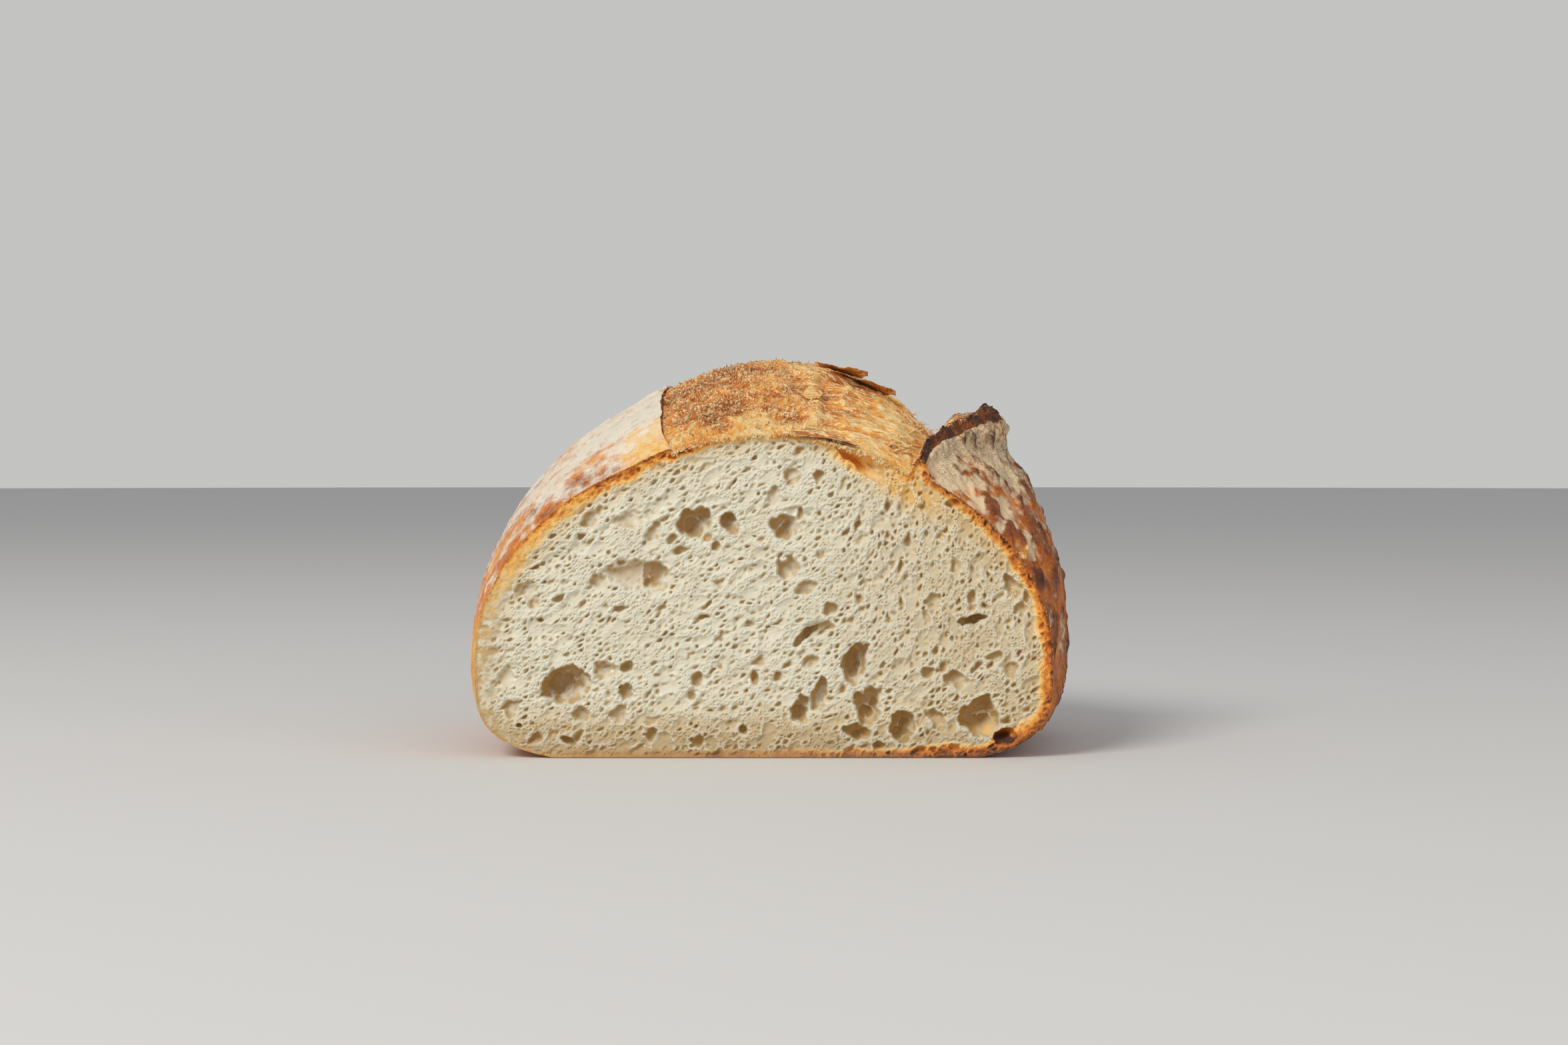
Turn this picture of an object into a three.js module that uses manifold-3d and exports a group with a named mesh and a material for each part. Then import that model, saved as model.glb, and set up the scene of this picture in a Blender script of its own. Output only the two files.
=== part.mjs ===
// A round-ended sourdough loaf, cut crosswise so that its crumb shows.
// Millimetres. +X runs to the right of the cut face, +Y away from it, +Z up.
// The origin lies under the middle of the loaf, on the surface it stands on.

import * as THREE from 'three';
import { mergeVertices } from 'three/addons/utils/BufferGeometryUtils.js';
import Module from 'manifold-3d';

const { clamp, degToRad, lerp, smoothstep } = THREE.MathUtils;

// The loaf. "Back" is the distance behind the cut face, and the summit section is the
// widest and highest one.
const LOAF_DEPTH = 148;
const SUMMIT_BACK = 48;
const CUT_Y = -LOAF_DEPTH / 2;
const WAIST_Z = 27;              // height at which every section is widest
const SUMMIT_HALF_WIDTH = 88.4;
const SUMMIT_RISE = 83.3;        // from the waist to the crown
const CUT_HALF_WIDTH_LEFT = 83.5;
const CUT_HALF_WIDTH_RIGHT = 80;
const CUT_RISE = 62.5;
const UNDERSIDE_DROP = 29.5;     // from the waist down, a little past the flat base
const END_POWER = 2.2;           // roundness of the back end, seen from above and the side
const UNDERSIDE_POWER_CUT = 4;   // roundness of the lower edge
const UNDERSIDE_POWER = 3;
const UNDERSIDE_END_POWER = 4;   // how late the underside rises at the back end
const LEFT_SHOULDER_POWER = 2;
const RIGHT_SHOULDER_POWER = 2.5;
const SHOULDER_FADE_BACK = 85;   // where the right shoulder is as round as the left
const LEAST_BASE_SHARE = 0.25;   // narrowest base, as a share of the half-width

// The score: a leaf-shaped opening along the crown, with the bloom in it.
const SCORE_HALF_WIDTH = 40.2;
const SCORE_WIDEST_BACK = 42;
const SCORE_HALF_LENGTH = 75;
const SCORE_MIDDLE_X_CUT = 5.2;
const SCORE_MIDDLE_X = 9.8;
const SCORE_END_BACK = SCORE_WIDEST_BACK + SCORE_HALF_LENGTH;
const LEAST_SCORE_SHARE = 0.12;  // width kept for the score's columns past its end
const BLOOM_BULGE_CUT = 1.6;
const BLOOM_BULGE = 4.4;
const VALLEY_DEPTH_CUT = 2;
const VALLEY_DEPTH = 12.5;
const VALLEY_POWER = 3.5;        // how late the bloom falls away towards the valley
const LIP_HEIGHT = 1.5;          // of the lifted skin along the score's left side
const LIP_REACH = 14;            // over which that skin sinks back into the shoulder
const LIP_REACH_POWER = 1.5;     // gathers the columns near the lip
const LIP_UNDERCUT = 0.7;

// The ear: the flap of skin that stands up along the score's right side.
const EAR_HEIGHT_CUT = 3.4;
const EAR_HEIGHT = 9.2;
const EAR_RISE_BACK = 15;        // where it starts to stand up from the shoulder
const EAR_TALLEST_BACK = 42;
const EAR_LEAN_CUT = 3;          // from the valley to the crest
const EAR_LEAN = 15;
const EAR_SPAN_CUT = 4;          // from the crest to where it meets the shoulder
const EAR_SPAN = 8.2;
const EAR_FADE = 5;              // how fast it sinks behind its tallest place
const EAR_ROOM = 0.6;            // most of the shoulder that it may take up
const EAR_LEAST_WIDTH = 1;
// Its outside from foot to crest, as shares of its span and height, and its torn inner
// face from middle to foot, as shares of the way from the valley to the crest.
const EAR_OUTSIDE = [[1, 0], [0.8, 0.3], [0.72, 1.05]];
const EAR_INSIDE = [[0.55, 0.42], [0.2, 0.06]];

// Crags of the bloom and blisters of the right side, as crossing waves. Lengths are from
// crest to crest and headings are degrees from +X towards +Y.
const CRAG_HEIGHT = 0.9;
const CRAG_LENGTH = 17;
const CRAG_HEADING = 60;
const CRAG_CROSS_LENGTH = 22;
const CRAG_CROSS_HEADING = 114;
const FINE_CRAG_HEIGHT = 0.4;
const FINE_CRAG_LENGTH = 8;
const FINE_CRAG_HEADING = -48;
const CRAG_EDGE_SHARE = 0.12;    // of the bloom's width, over which crags fade at its sides
const BLISTER_HEIGHT = 1.1;
const BLISTER_LENGTH = 15;
const BLISTER_CROSS_LENGTH = 14;
const BLISTER_CROSS_HEADING = 31;

// The flake that lifts off the bloom's right side near the summit.
const FLAKE_THICKNESS = 1.6;
const FLAKE_WIDTH = 13;
const FLAKE_BACK = 40;
const FLAKE_ROOT_X = 15;
const FLAKE_TIP_X = 37;
const FLAKE_TIP_Z = 105;
const FLAKE_ROOT_SHARE = 0.56;   // of the way across the bloom
const FLAKE_DROOP = 1.4;
const FLAKE_TIP_WIDTH_LOSS = 0.9;
const FLAKE_TIP_THINNING = 0.6;
const FLAKE_STATIONS = 8;
const FLAKE_SIDES = 6;

// The mesh: columns round a section and rings along the loaf.
const LOWER_COLUMNS = 5;
const FLANK_COLUMNS = 12;
const BLOOM_COLUMNS = 20;
const BASE_COLUMNS = 4;
const FRONT_RINGS = 10;
const BACK_RINGS = 20;

// The crumb's largest holes: middle x and z, width, height and tilt in degrees, and depth.
const LARGE_HOLES = [
  [-20.5, 66.5, 10.5, 9, 0, 6],
  [-10.5, 66.5, 4.5, 7, 15, 5],
  [-38, 51, 20, 8, -8, 2.5],
  [-33, 51, 8.5, 7.5, 0, 5],
  [4.5, 64.5, 8, 8, 0, 5],
  [5, 54, 7, 6.5, 0, 4],
  [-57.5, 20, 13, 9.5, 25, 8],
  [-46.5, 25, 7, 5, 0, 3.5],
  [-41, 18.5, 4.2, 4.2, 0, 4],
  [-43, 12, 4.5, 6, 0, 3],
  [-53, 12, 5.5, 4, 0, 3],
  [-75, 23.5, 3.5, 5, 0, 2],
  [-73.5, 13, 4, 3.5, 0, 2.5],
  [-69, 48, 6, 4, 60, 2.5],
  [-49, 49, 5, 4.2, 0, 3],
  [-51, 67.5, 6.5, 4, 40, 3],
  [-40.5, 67, 8.5, 3.6, 15, 2.5],
  [-33, 64.5, 6, 3.6, 45, 3],
  [13, 79.5, 2.6, 4.8, 15, 3],
  [1.5, 74, 4.4, 3, 0, 2.5],
  [12, 35, 13, 3.5, 25, 3],
  [24, 27, 7, 12, -10, 5],
  [14.5, 17, 4.5, 8.5, 0, 4],
  [28, 14.5, 6.5, 10.5, -10, 5],
  [9, 13, 6, 8, 0, 4],
  [24.5, 7, 7.5, 5.5, 0, 4],
  [38, 8, 7.5, 7.5, 0, 5],
  [59.5, 11, 9.5, 10.5, 0, 6],
  [66.3, 5.4, 7.5, 4.6, 15, 5],
  [52.5, 22, 8.5, 4.5, 10, 4],
  [58.5, 39, 8, 3.2, 0, 4],
  [67.5, 49.5, 5.5, 3.6, -35, 3],
  [69.8, 43, 3, 5.5, -20, 2.5],
  [47.5, 10.5, 6, 4, -10, 3],
  [46.5, 44, 4, 5.5, 15, 2.5],
];

// The torn hollow under the bloom's front edge, given as the large holes are.
const TORN_HOLLOW = [26, 83.4, 17, 5, -40, 5];

// Smaller holes between them, which lean with the crumb's flow.
const SMALL_HOLES = 34;
const SMALL_HOLE_WIDTH = 3.4;
const SMALL_HOLE_HEIGHT = 2.4;
const SMALL_HOLE_DEPTH = 1.6;
const HOLE_CLEARANCE = 1.2;
const RIM_CLEARANCE = 6;
const TRIES_PER_HOLE = 40;
const HOLE_SEED = 11;
const HOLE_SINK = 0.06;          // how far an ellipsoid's middle lies behind the cut face
const LARGE_HOLE_SIDES = 12;
const SMALL_HOLE_SIDES = 9;
const SMALL_HOLE_LEAST = 0.75;   // spread of their size round the mean
const SMALL_HOLE_MOST = 1.25;
// The crumb's flow: tilt in the left of the face and in its right half, and where it turns.
const FLOW_TILT_LEFT = 25;
const FLOW_TILT_RIGHT = 80;
const FLOW_TURN_START_X = -20;
const FLOW_TURN_END_X = 30;

// Share of the summit's extra width and height that a section in front of it lacks.
function frontLoss(back) {
  return clamp((SUMMIT_BACK - back) / SUMMIT_BACK, 0, 1) ** 2;
}

// Share of its size that a section keeps as the back end rounds off.
function endShare(back, power) {
  const along = clamp((back - SUMMIT_BACK) / (LOAF_DEPTH - SUMMIT_BACK), 0, 1);
  return (1 - along ** power) ** (1 / power);
}

function halfWidth(side, back) {
  const cutHalfWidth = side < 0 ? CUT_HALF_WIDTH_LEFT : CUT_HALF_WIDTH_RIGHT;
  const width = lerp(SUMMIT_HALF_WIDTH, cutHalfWidth, frontLoss(back));
  return width * endShare(back, END_POWER);
}

function shoulderPower(side, back) {
  if (side < 0) return LEFT_SHOULDER_POWER;
  const fullness = (1 - frontLoss(back)) * (1 - smoothstep(back, SUMMIT_BACK, SHOULDER_FADE_BACK));
  return lerp(LEFT_SHOULDER_POWER, RIGHT_SHOULDER_POWER, fullness);
}

// Height of the plain crown, before the score, at x in the section at `back`.
function crownHeight(x, back) {
  const rise = lerp(SUMMIT_RISE, CUT_RISE, frontLoss(back)) * endShare(back, END_POWER);
  const power = shoulderPower(x, back);
  const across = clamp(Math.abs(x) / halfWidth(x, back), 0, 1);
  return WAIST_Z + rise * (1 - across ** power) ** (1 / power);
}

// A size that grows from `start` to its full value at `peak`, then fades to nothing at the
// score's end.
function alongScore(back, peak, atCut, full, fade = 1, start = 0) {
  if (back <= peak) return lerp(atCut, full, smoothstep(back, start, peak));
  return full * (1 - smoothstep(back, peak, SCORE_END_BACK)) ** fade;
}

// The x of the score's left lip (side -1) or of the valley on its right (side 1).
function scoreEdge(side, back) {
  const along = clamp((back - SCORE_WIDEST_BACK) / SCORE_HALF_LENGTH, -1, 1);
  const opening = SCORE_HALF_WIDTH * Math.sqrt(1 - along ** 2);
  const least = LEAST_SCORE_SHARE * halfWidth(1, back);
  const drift = smoothstep(back, 0, SUMMIT_BACK);
  const middle = lerp(SCORE_MIDDLE_X_CUT, SCORE_MIDDLE_X, drift) * endShare(back, END_POWER);
  return middle + side * Math.max(opening, least);
}

// A sine wave of a given length that travels along a heading.
function wave(across, along, length, heading) {
  const angle = degToRad(heading);
  return Math.sin((2 * Math.PI * (across * Math.cos(angle) + along * Math.sin(angle))) / length);
}

// Crags: two crossing waves over the bloom, with a shorter one on top.
function crags(x, back) {
  const first = wave(x, back, CRAG_LENGTH, CRAG_HEADING);
  const second = wave(x, back, CRAG_CROSS_LENGTH, CRAG_CROSS_HEADING);
  const fine = FINE_CRAG_HEIGHT * wave(x, back, FINE_CRAG_LENGTH, FINE_CRAG_HEADING);
  return CRAG_HEIGHT * first * second + fine;
}

// Blisters of the right side, as dents between them: 0 at a blister's top, and fading out
// towards the base.
function blisterDent(z, back) {
  const first = wave(z, back, BLISTER_LENGTH, 90);
  const second = wave(z, back, BLISTER_CROSS_LENGTH, BLISTER_CROSS_HEADING);
  return BLISTER_HEIGHT * (first * second - 1) * smoothstep(z, 0, WAIST_Z);
}

// A point of the plain crown at an angle round the section, 0 at the waist, 90 on top.
function flankPoint(side, angle, back) {
  const reach = halfWidth(side, back);
  const x = side * reach * Math.cos(angle) ** (2 / shoulderPower(side, back));
  return [x, crownHeight(x, back)];
}

function angleAt(x, back) {
  const across = clamp(Math.abs(x) / halfWidth(x, back), 0, 1);
  return Math.acos(across ** (shoulderPower(x, back) / 2));
}

// The lower side, from the flat base up to the waist.
function lowerSide(side, back) {
  const drop = UNDERSIDE_DROP * endShare(back, UNDERSIDE_END_POWER);
  const low = Math.min(drop, WAIST_Z);
  const power = lerp(UNDERSIDE_POWER, UNDERSIDE_POWER_CUT, frontLoss(back));
  const points = [];
  for (let i = 0; i < LOWER_COLUMNS; i += 1) {
    const below = low * Math.cos((i / LOWER_COLUMNS) * (Math.PI / 2));
    const share = Math.max((1 - (below / drop) ** power) ** (1 / power), LEAST_BASE_SHARE);
    points.push([side * halfWidth(side, back) * share, WAIST_Z - below]);
  }
  return points;
}

// The right side: blistered skin from the waist to the foot of the ear.
function rightFlank(footX, back) {
  const points = [];
  const top = angleAt(footX, back);
  for (let i = 0; i < FLANK_COLUMNS; i += 1) {
    const angle = (i / FLANK_COLUMNS) * top;
    const [x, z] = flankPoint(1, angle, back);
    const dent = blisterDent(z, back) * endShare(back, END_POWER);
    points.push([x + dent * Math.cos(angle), z + dent * Math.sin(angle)]);
  }
  return points;
}

// The ear: foot, wall, shoulder and crest on its outer side, then its torn inner face.
function ear(valley, back) {
  const size = (...values) => alongScore(back, EAR_TALLEST_BACK, ...values);
  const height = size(EAR_HEIGHT_CUT, EAR_HEIGHT, EAR_FADE, EAR_RISE_BACK);
  const lean = Math.max(size(EAR_LEAN_CUT, EAR_LEAN), EAR_LEAST_WIDTH);
  const span = Math.max(size(EAR_SPAN_CUT, EAR_SPAN), EAR_LEAST_WIDTH);
  const room = halfWidth(1, back) - valley[0];
  const fit = Math.min(1, (EAR_ROOM * room) / (lean + span));
  const crestX = valley[0] + lean * fit;
  const outer = ([share, lift]) => {
    const x = crestX + share * span * fit;
    return [x, crownHeight(x, back) + lift * height];
  };
  const crest = outer([0, 1]);
  const inner = ([across, up]) => [lerp(valley[0], crestX, across), lerp(valley[1], crest[1], up)];
  return [...EAR_OUTSIDE.map(outer), crest, ...EAR_INSIDE.map(inner)];
}

// The bloom at a share of the way from the lip (0) to the valley (1).
function bloomPoint(share, back) {
  const x = lerp(scoreEdge(-1, back), scoreEdge(1, back), share);
  const bulge = alongScore(back, SUMMIT_BACK, BLOOM_BULGE_CUT, BLOOM_BULGE);
  const valley = alongScore(back, SUMMIT_BACK, VALLEY_DEPTH_CUT, VALLEY_DEPTH);
  const relief = bulge * 4 * share * (1 - share) - valley * share ** VALLEY_POWER;
  const edge = Math.min(1, share / CRAG_EDGE_SHARE, (1 - share) / CRAG_EDGE_SHARE);
  const rough = crags(x, back) * edge * endShare(back, END_POWER);
  return [x, crownHeight(x, back) + relief + rough];
}

// The left side: skin lifted along the lip, easing into the plain shoulder.
function leftFlank(back) {
  const points = [];
  const lipX = scoreEdge(-1, back);
  const top = angleAt(lipX - LIP_UNDERCUT, back);
  const height = alongScore(back, SUMMIT_BACK, LIP_HEIGHT, LIP_HEIGHT);
  for (let i = 0; i <= FLANK_COLUMNS; i += 1) {
    const share = (i / FLANK_COLUMNS) ** LIP_REACH_POWER;
    const [x, z] = flankPoint(-1, top * (1 - share), back);
    const lift = height * (1 - smoothstep(lipX - x, 0, LIP_REACH));
    points.push([x, z + lift]);
  }
  return points;
}

// One closed cross-section, anticlockwise as seen from the front, from the base's right edge.
function section(back) {
  const valley = bloomPoint(1, back);
  const flap = ear(valley, back);
  const points = [...lowerSide(1, back), ...rightFlank(flap[0][0], back), ...flap];
  for (let i = 0; i < BLOOM_COLUMNS; i += 1) {
    points.push(bloomPoint(1 - i / (BLOOM_COLUMNS - 1), back));
  }
  points.push(...leftFlank(back), ...lowerSide(-1, back).reverse());
  const [leftX, baseZ] = points[points.length - 1];
  const rightX = points[0][0];
  for (let i = 1; i < BASE_COLUMNS; i += 1) {
    points.push([lerp(leftX, rightX, i / BASE_COLUMNS), baseZ]);
  }
  return points.map(([x, z]) => [x, Math.max(z, 0)]);
}

function indexedGeometry(positions, triangles) {
  const geometry = new THREE.BufferGeometry();
  geometry.setAttribute('position', new THREE.Float32BufferAttribute(positions, 3));
  geometry.setIndex(triangles);
  return geometry;
}

// The whole skin: rings of sections, a flat face in front and a point at the back end.
function skinGeometry() {
  const backs = [];
  for (let i = 0; i < FRONT_RINGS; i += 1) backs.push((SUMMIT_BACK * i) / FRONT_RINGS);
  for (let i = 0; i < BACK_RINGS; i += 1) {
    const turn = (i / BACK_RINGS) * (Math.PI / 2);
    backs.push(SUMMIT_BACK + (LOAF_DEPTH - SUMMIT_BACK) * Math.sin(turn));
  }
  const rings = backs.map(section);
  const columns = rings[0].length;
  const positions = [];
  rings.forEach((ring, i) => ring.forEach(([x, z]) => positions.push(x, CUT_Y + backs[i], z)));
  const frontMiddle = positions.length / 3;
  positions.push(0, CUT_Y, CUT_RISE / 2);
  const backEnd = frontMiddle + 1;
  positions.push(0, CUT_Y + LOAF_DEPTH, WAIST_Z);
  const triangles = [];
  const last = (rings.length - 1) * columns;
  for (let j = 0; j < columns; j += 1) {
    const next = (j + 1) % columns;
    triangles.push(frontMiddle, j, next, backEnd, last + next, last + j);
    for (let i = 0; i + 1 < rings.length; i += 1) {
      const near = i * columns;
      const far = near + columns;
      triangles.push(near + j, far + j, far + next, near + j, far + next, near + next);
    }
  }
  return indexedGeometry(positions, triangles);
}

// The lifted flake: a thin leaf from its root in the bloom to a free tip.
function flakeGeometry() {
  const rootZ = bloomPoint(FLAKE_ROOT_SHARE, FLAKE_BACK)[1] - FLAKE_THICKNESS;
  const positions = [];
  for (let i = 0; i <= FLAKE_STATIONS; i += 1) {
    const along = i / FLAKE_STATIONS;
    const halfWidthHere = (FLAKE_WIDTH / 2) * Math.sqrt(1 - FLAKE_TIP_WIDTH_LOSS * along ** 2);
    const halfThickness = (FLAKE_THICKNESS / 2) * (1 - FLAKE_TIP_THINNING * along);
    const x = lerp(FLAKE_ROOT_X, FLAKE_TIP_X, along);
    const z = lerp(rootZ, FLAKE_TIP_Z, along ** FLAKE_DROOP);
    for (let j = 0; j < FLAKE_SIDES; j += 1) {
      const turn = (j / FLAKE_SIDES) * 2 * Math.PI;
      const y = CUT_Y + FLAKE_BACK + halfWidthHere * Math.cos(turn);
      positions.push(x, y, z + halfThickness * Math.sin(turn));
    }
  }
  const triangles = [];
  const last = FLAKE_STATIONS * FLAKE_SIDES;
  for (let j = 0; j < FLAKE_SIDES; j += 1) {
    const next = (j + 1) % FLAKE_SIDES;
    for (let i = 0; i < FLAKE_STATIONS; i += 1) {
      const near = i * FLAKE_SIDES;
      const far = near + FLAKE_SIDES;
      triangles.push(near + j, near + next, far + next, near + j, far + next, far + j);
    }
    if (j > 0 && j + 1 < FLAKE_SIDES) {
      triangles.push(0, j + 1, j, last, last + j, last + j + 1);
    }
  }
  return indexedGeometry(positions, triangles);
}

// A hole in the cut face: an ellipsoid sunk a little more than half.
function holeGeometry([x, z, width, height, tilt, depth], sides) {
  const geometry = new THREE.SphereGeometry(1, sides, (2 * sides) / 3);
  geometry.scale(width / 2, depth, height / 2);
  geometry.rotateY(-degToRad(tilt));
  geometry.translate(x, CUT_Y + HOLE_SINK * depth, z);
  return geometry;
}

// A repeatable run of numbers between 0 and 1, by Lehmer's rule.
const LEHMER_MULTIPLIER = 16807;
const LEHMER_MODULUS = 2147483647;
function numberRun(seed) {
  let state = seed;
  return () => {
    state = (state * LEHMER_MULTIPLIER) % LEHMER_MODULUS;
    return state / LEHMER_MODULUS;
  };
}

// Small holes, placed where they clear the large ones, each other and the crust. They
// rise to the right in the left of the face and stand upright in its right half.
function smallHoles() {
  const next = numberRun(HOLE_SEED);
  const placed = LARGE_HOLES.map(([x, z, width, height]) => [x, z, Math.max(width, height) / 2]);
  const holes = [];
  const inset = SMALL_HOLE_WIDTH / 2 + RIM_CLEARANCE;
  for (let i = 0; i < SMALL_HOLES * TRIES_PER_HOLE && holes.length < SMALL_HOLES; i += 1) {
    const x = lerp(-CUT_HALF_WIDTH_LEFT, CUT_HALF_WIDTH_RIGHT, next());
    const z = lerp(inset, WAIST_Z + CUT_RISE, next());
    const size = lerp(SMALL_HOLE_LEAST, SMALL_HOLE_MOST, next());
    const inside = Math.abs(x) + inset < halfWidth(x, 0) && z + inset < crownHeight(x, 0);
    const reach = (SMALL_HOLE_WIDTH * size) / 2 + HOLE_CLEARANCE;
    const clear = placed.every(([px, pz, pr]) => Math.hypot(x - px, z - pz) > pr + reach);
    if (inside && clear) {
      placed.push([x, z, reach - HOLE_CLEARANCE]);
      const turned = smoothstep(x, FLOW_TURN_START_X, FLOW_TURN_END_X);
      const tilt = lerp(FLOW_TILT_LEFT, FLOW_TILT_RIGHT, turned);
      holes.push([x, z, SMALL_HOLE_WIDTH * size, SMALL_HOLE_HEIGHT * size, tilt, SMALL_HOLE_DEPTH]);
    }
  }
  return holes;
}

const wasm = await Module();
wasm.setup();

function solidFrom(geometry) {
  geometry.deleteAttribute('normal');
  geometry.deleteAttribute('uv');
  const merged = mergeVertices(geometry);
  const mesh = new wasm.Mesh({
    numProp: 3,
    vertProperties: Float32Array.from(merged.attributes.position.array),
    triVerts: Uint32Array.from(merged.index.array),
  });
  return new wasm.Manifold(mesh);
}

function geometryFrom(solid) {
  const mesh = solid.getMesh();
  const geometry = indexedGeometry(mesh.vertProperties, Array.from(mesh.triVerts));
  geometry.computeVertexNormals();
  return geometry;
}

function loafGeometry() {
  let solid = solidFrom(skinGeometry()).add(solidFrom(flakeGeometry()));
  for (const hole of [...LARGE_HOLES, TORN_HOLLOW]) {
    solid = solid.subtract(solidFrom(holeGeometry(hole, LARGE_HOLE_SIDES)));
  }
  for (const hole of smallHoles()) {
    solid = solid.subtract(solidFrom(holeGeometry(hole, SMALL_HOLE_SIDES)));
  }
  return geometryFrom(solid);
}

const crust = new THREE.MeshStandardMaterial({ color: 0xb98a54, roughness: 0.85, metalness: 0 });
const loaf = new THREE.Mesh(loafGeometry(), crust);
loaf.name = 'loaf';

const group = new THREE.Group();
group.add(loaf);

export default group;
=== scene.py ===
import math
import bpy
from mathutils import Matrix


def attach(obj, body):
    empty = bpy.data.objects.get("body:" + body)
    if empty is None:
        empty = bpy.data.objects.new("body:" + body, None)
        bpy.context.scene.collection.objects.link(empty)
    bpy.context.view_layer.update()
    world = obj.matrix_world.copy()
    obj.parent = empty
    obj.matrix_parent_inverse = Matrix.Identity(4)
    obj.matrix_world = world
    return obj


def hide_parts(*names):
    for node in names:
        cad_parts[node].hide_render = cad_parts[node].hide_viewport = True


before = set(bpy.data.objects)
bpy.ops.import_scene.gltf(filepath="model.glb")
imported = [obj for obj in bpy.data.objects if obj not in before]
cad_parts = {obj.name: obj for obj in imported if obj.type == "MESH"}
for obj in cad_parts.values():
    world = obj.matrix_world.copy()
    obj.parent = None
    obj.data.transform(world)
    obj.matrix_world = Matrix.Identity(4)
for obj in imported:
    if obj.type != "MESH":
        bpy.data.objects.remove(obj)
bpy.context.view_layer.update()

# A round-ended sourdough loaf, cut crosswise so that its crumb shows.
# Shapes are worked out in millimetres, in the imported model's own frame: +X to the right of
# the cut face, +Y away from it, +Z up. "Back" is the distance behind the cut face. Noise takes
# a place, a size in millimetres and a seed.

from types import SimpleNamespace

import bpy
import numpy as np
from mathutils import Vector

MM = 0.001

# The loaf's sizes, as the solid has them. A power of 2 makes an arch an ellipse, and a higher
# one makes it squarer.
LOAF_DEPTH = 148
SUMMIT_BACK = 48
CUT_Y = -LOAF_DEPTH / 2
WAIST_Z = 27
SUMMIT_HALF_WIDTH = 88.4
SUMMIT_RISE = 83.3
CUT_HALF_WIDTH_LEFT = 83.5
CUT_HALF_WIDTH_RIGHT = 80
CUT_RISE = 62.5
UNDERSIDE_DROP = 29.5
END_POWER = 2.2
UNDERSIDE_POWER_CUT = 4
UNDERSIDE_POWER = 3
UNDERSIDE_END_POWER = 4
LEFT_SHOULDER_POWER = 2
RIGHT_SHOULDER_POWER = 2.5
SHOULDER_FADE_BACK = 85
LEAST_BASE_SHARE = 0.25

SCORE_HALF_WIDTH = 40.2
SCORE_WIDEST_BACK = 42
SCORE_HALF_LENGTH = 75
SCORE_MIDDLE_X_CUT = 5.2
SCORE_MIDDLE_X = 9.8
SCORE_END_BACK = SCORE_WIDEST_BACK + SCORE_HALF_LENGTH
LEAST_SCORE_SHARE = 0.12
BLOOM_BULGE = 1.6, 4.4     # this and the next at the cut and at the summit
VALLEY_DEPTH = 2, 12.5
VALLEY_POWER = 3.5
LIP_HEIGHT = 1.5
LIP_REACH = 14
LIP_REACH_POWER = 1.5
LIP_UNDERCUT = 0.7

EAR_HEIGHT = 3.4, 9.2      # this, the lean and the span at the cut and at the tallest
EAR_RISE_BACK = 15
EAR_TALLEST_BACK = 42
EAR_LEAN = 3, 15
EAR_SPAN = 4, 8.2
EAR_FADE = 5
EAR_ROOM = 0.6             # the most that it takes of the room beyond the valley
EAR_LEAST_WIDTH = 1
# Its outer profile, as shares of the span beyond the crest and of its height, and its inner
# one, as shares of the way from the valley to the crest.
EAR_OUTSIDE = [[1, 0], [0.8, 0.3], [0.72, 1.05]]
EAR_INSIDE = [[0.55, 0.42], [0.2, 0.06]]

# The lip's profile, from the bloom up to the left skin: across, and share of its height.
LIP_CORNERS = [(1.5, 0.3), (0, 0), (-1.3, 0.14), (-0.3, 0.42), (-0.1, 0.85), (-0.7, 1), (-2, 1)]
LIP_OPENING_BACK = 4       # a plain upright step at the cut, and the full profile from here

# The soft lump of torn dough that stands in the valley against the ear.
LUMP_X = 54.5
LUMP_BACK = 52
LUMP_REACH_X = 5
LUMP_REACH_BACK = 8
LUMP_HEIGHT = 6.4

ANGLE_MIDDLE_Z = 35        # angles round the loaf are measured from this height

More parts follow.
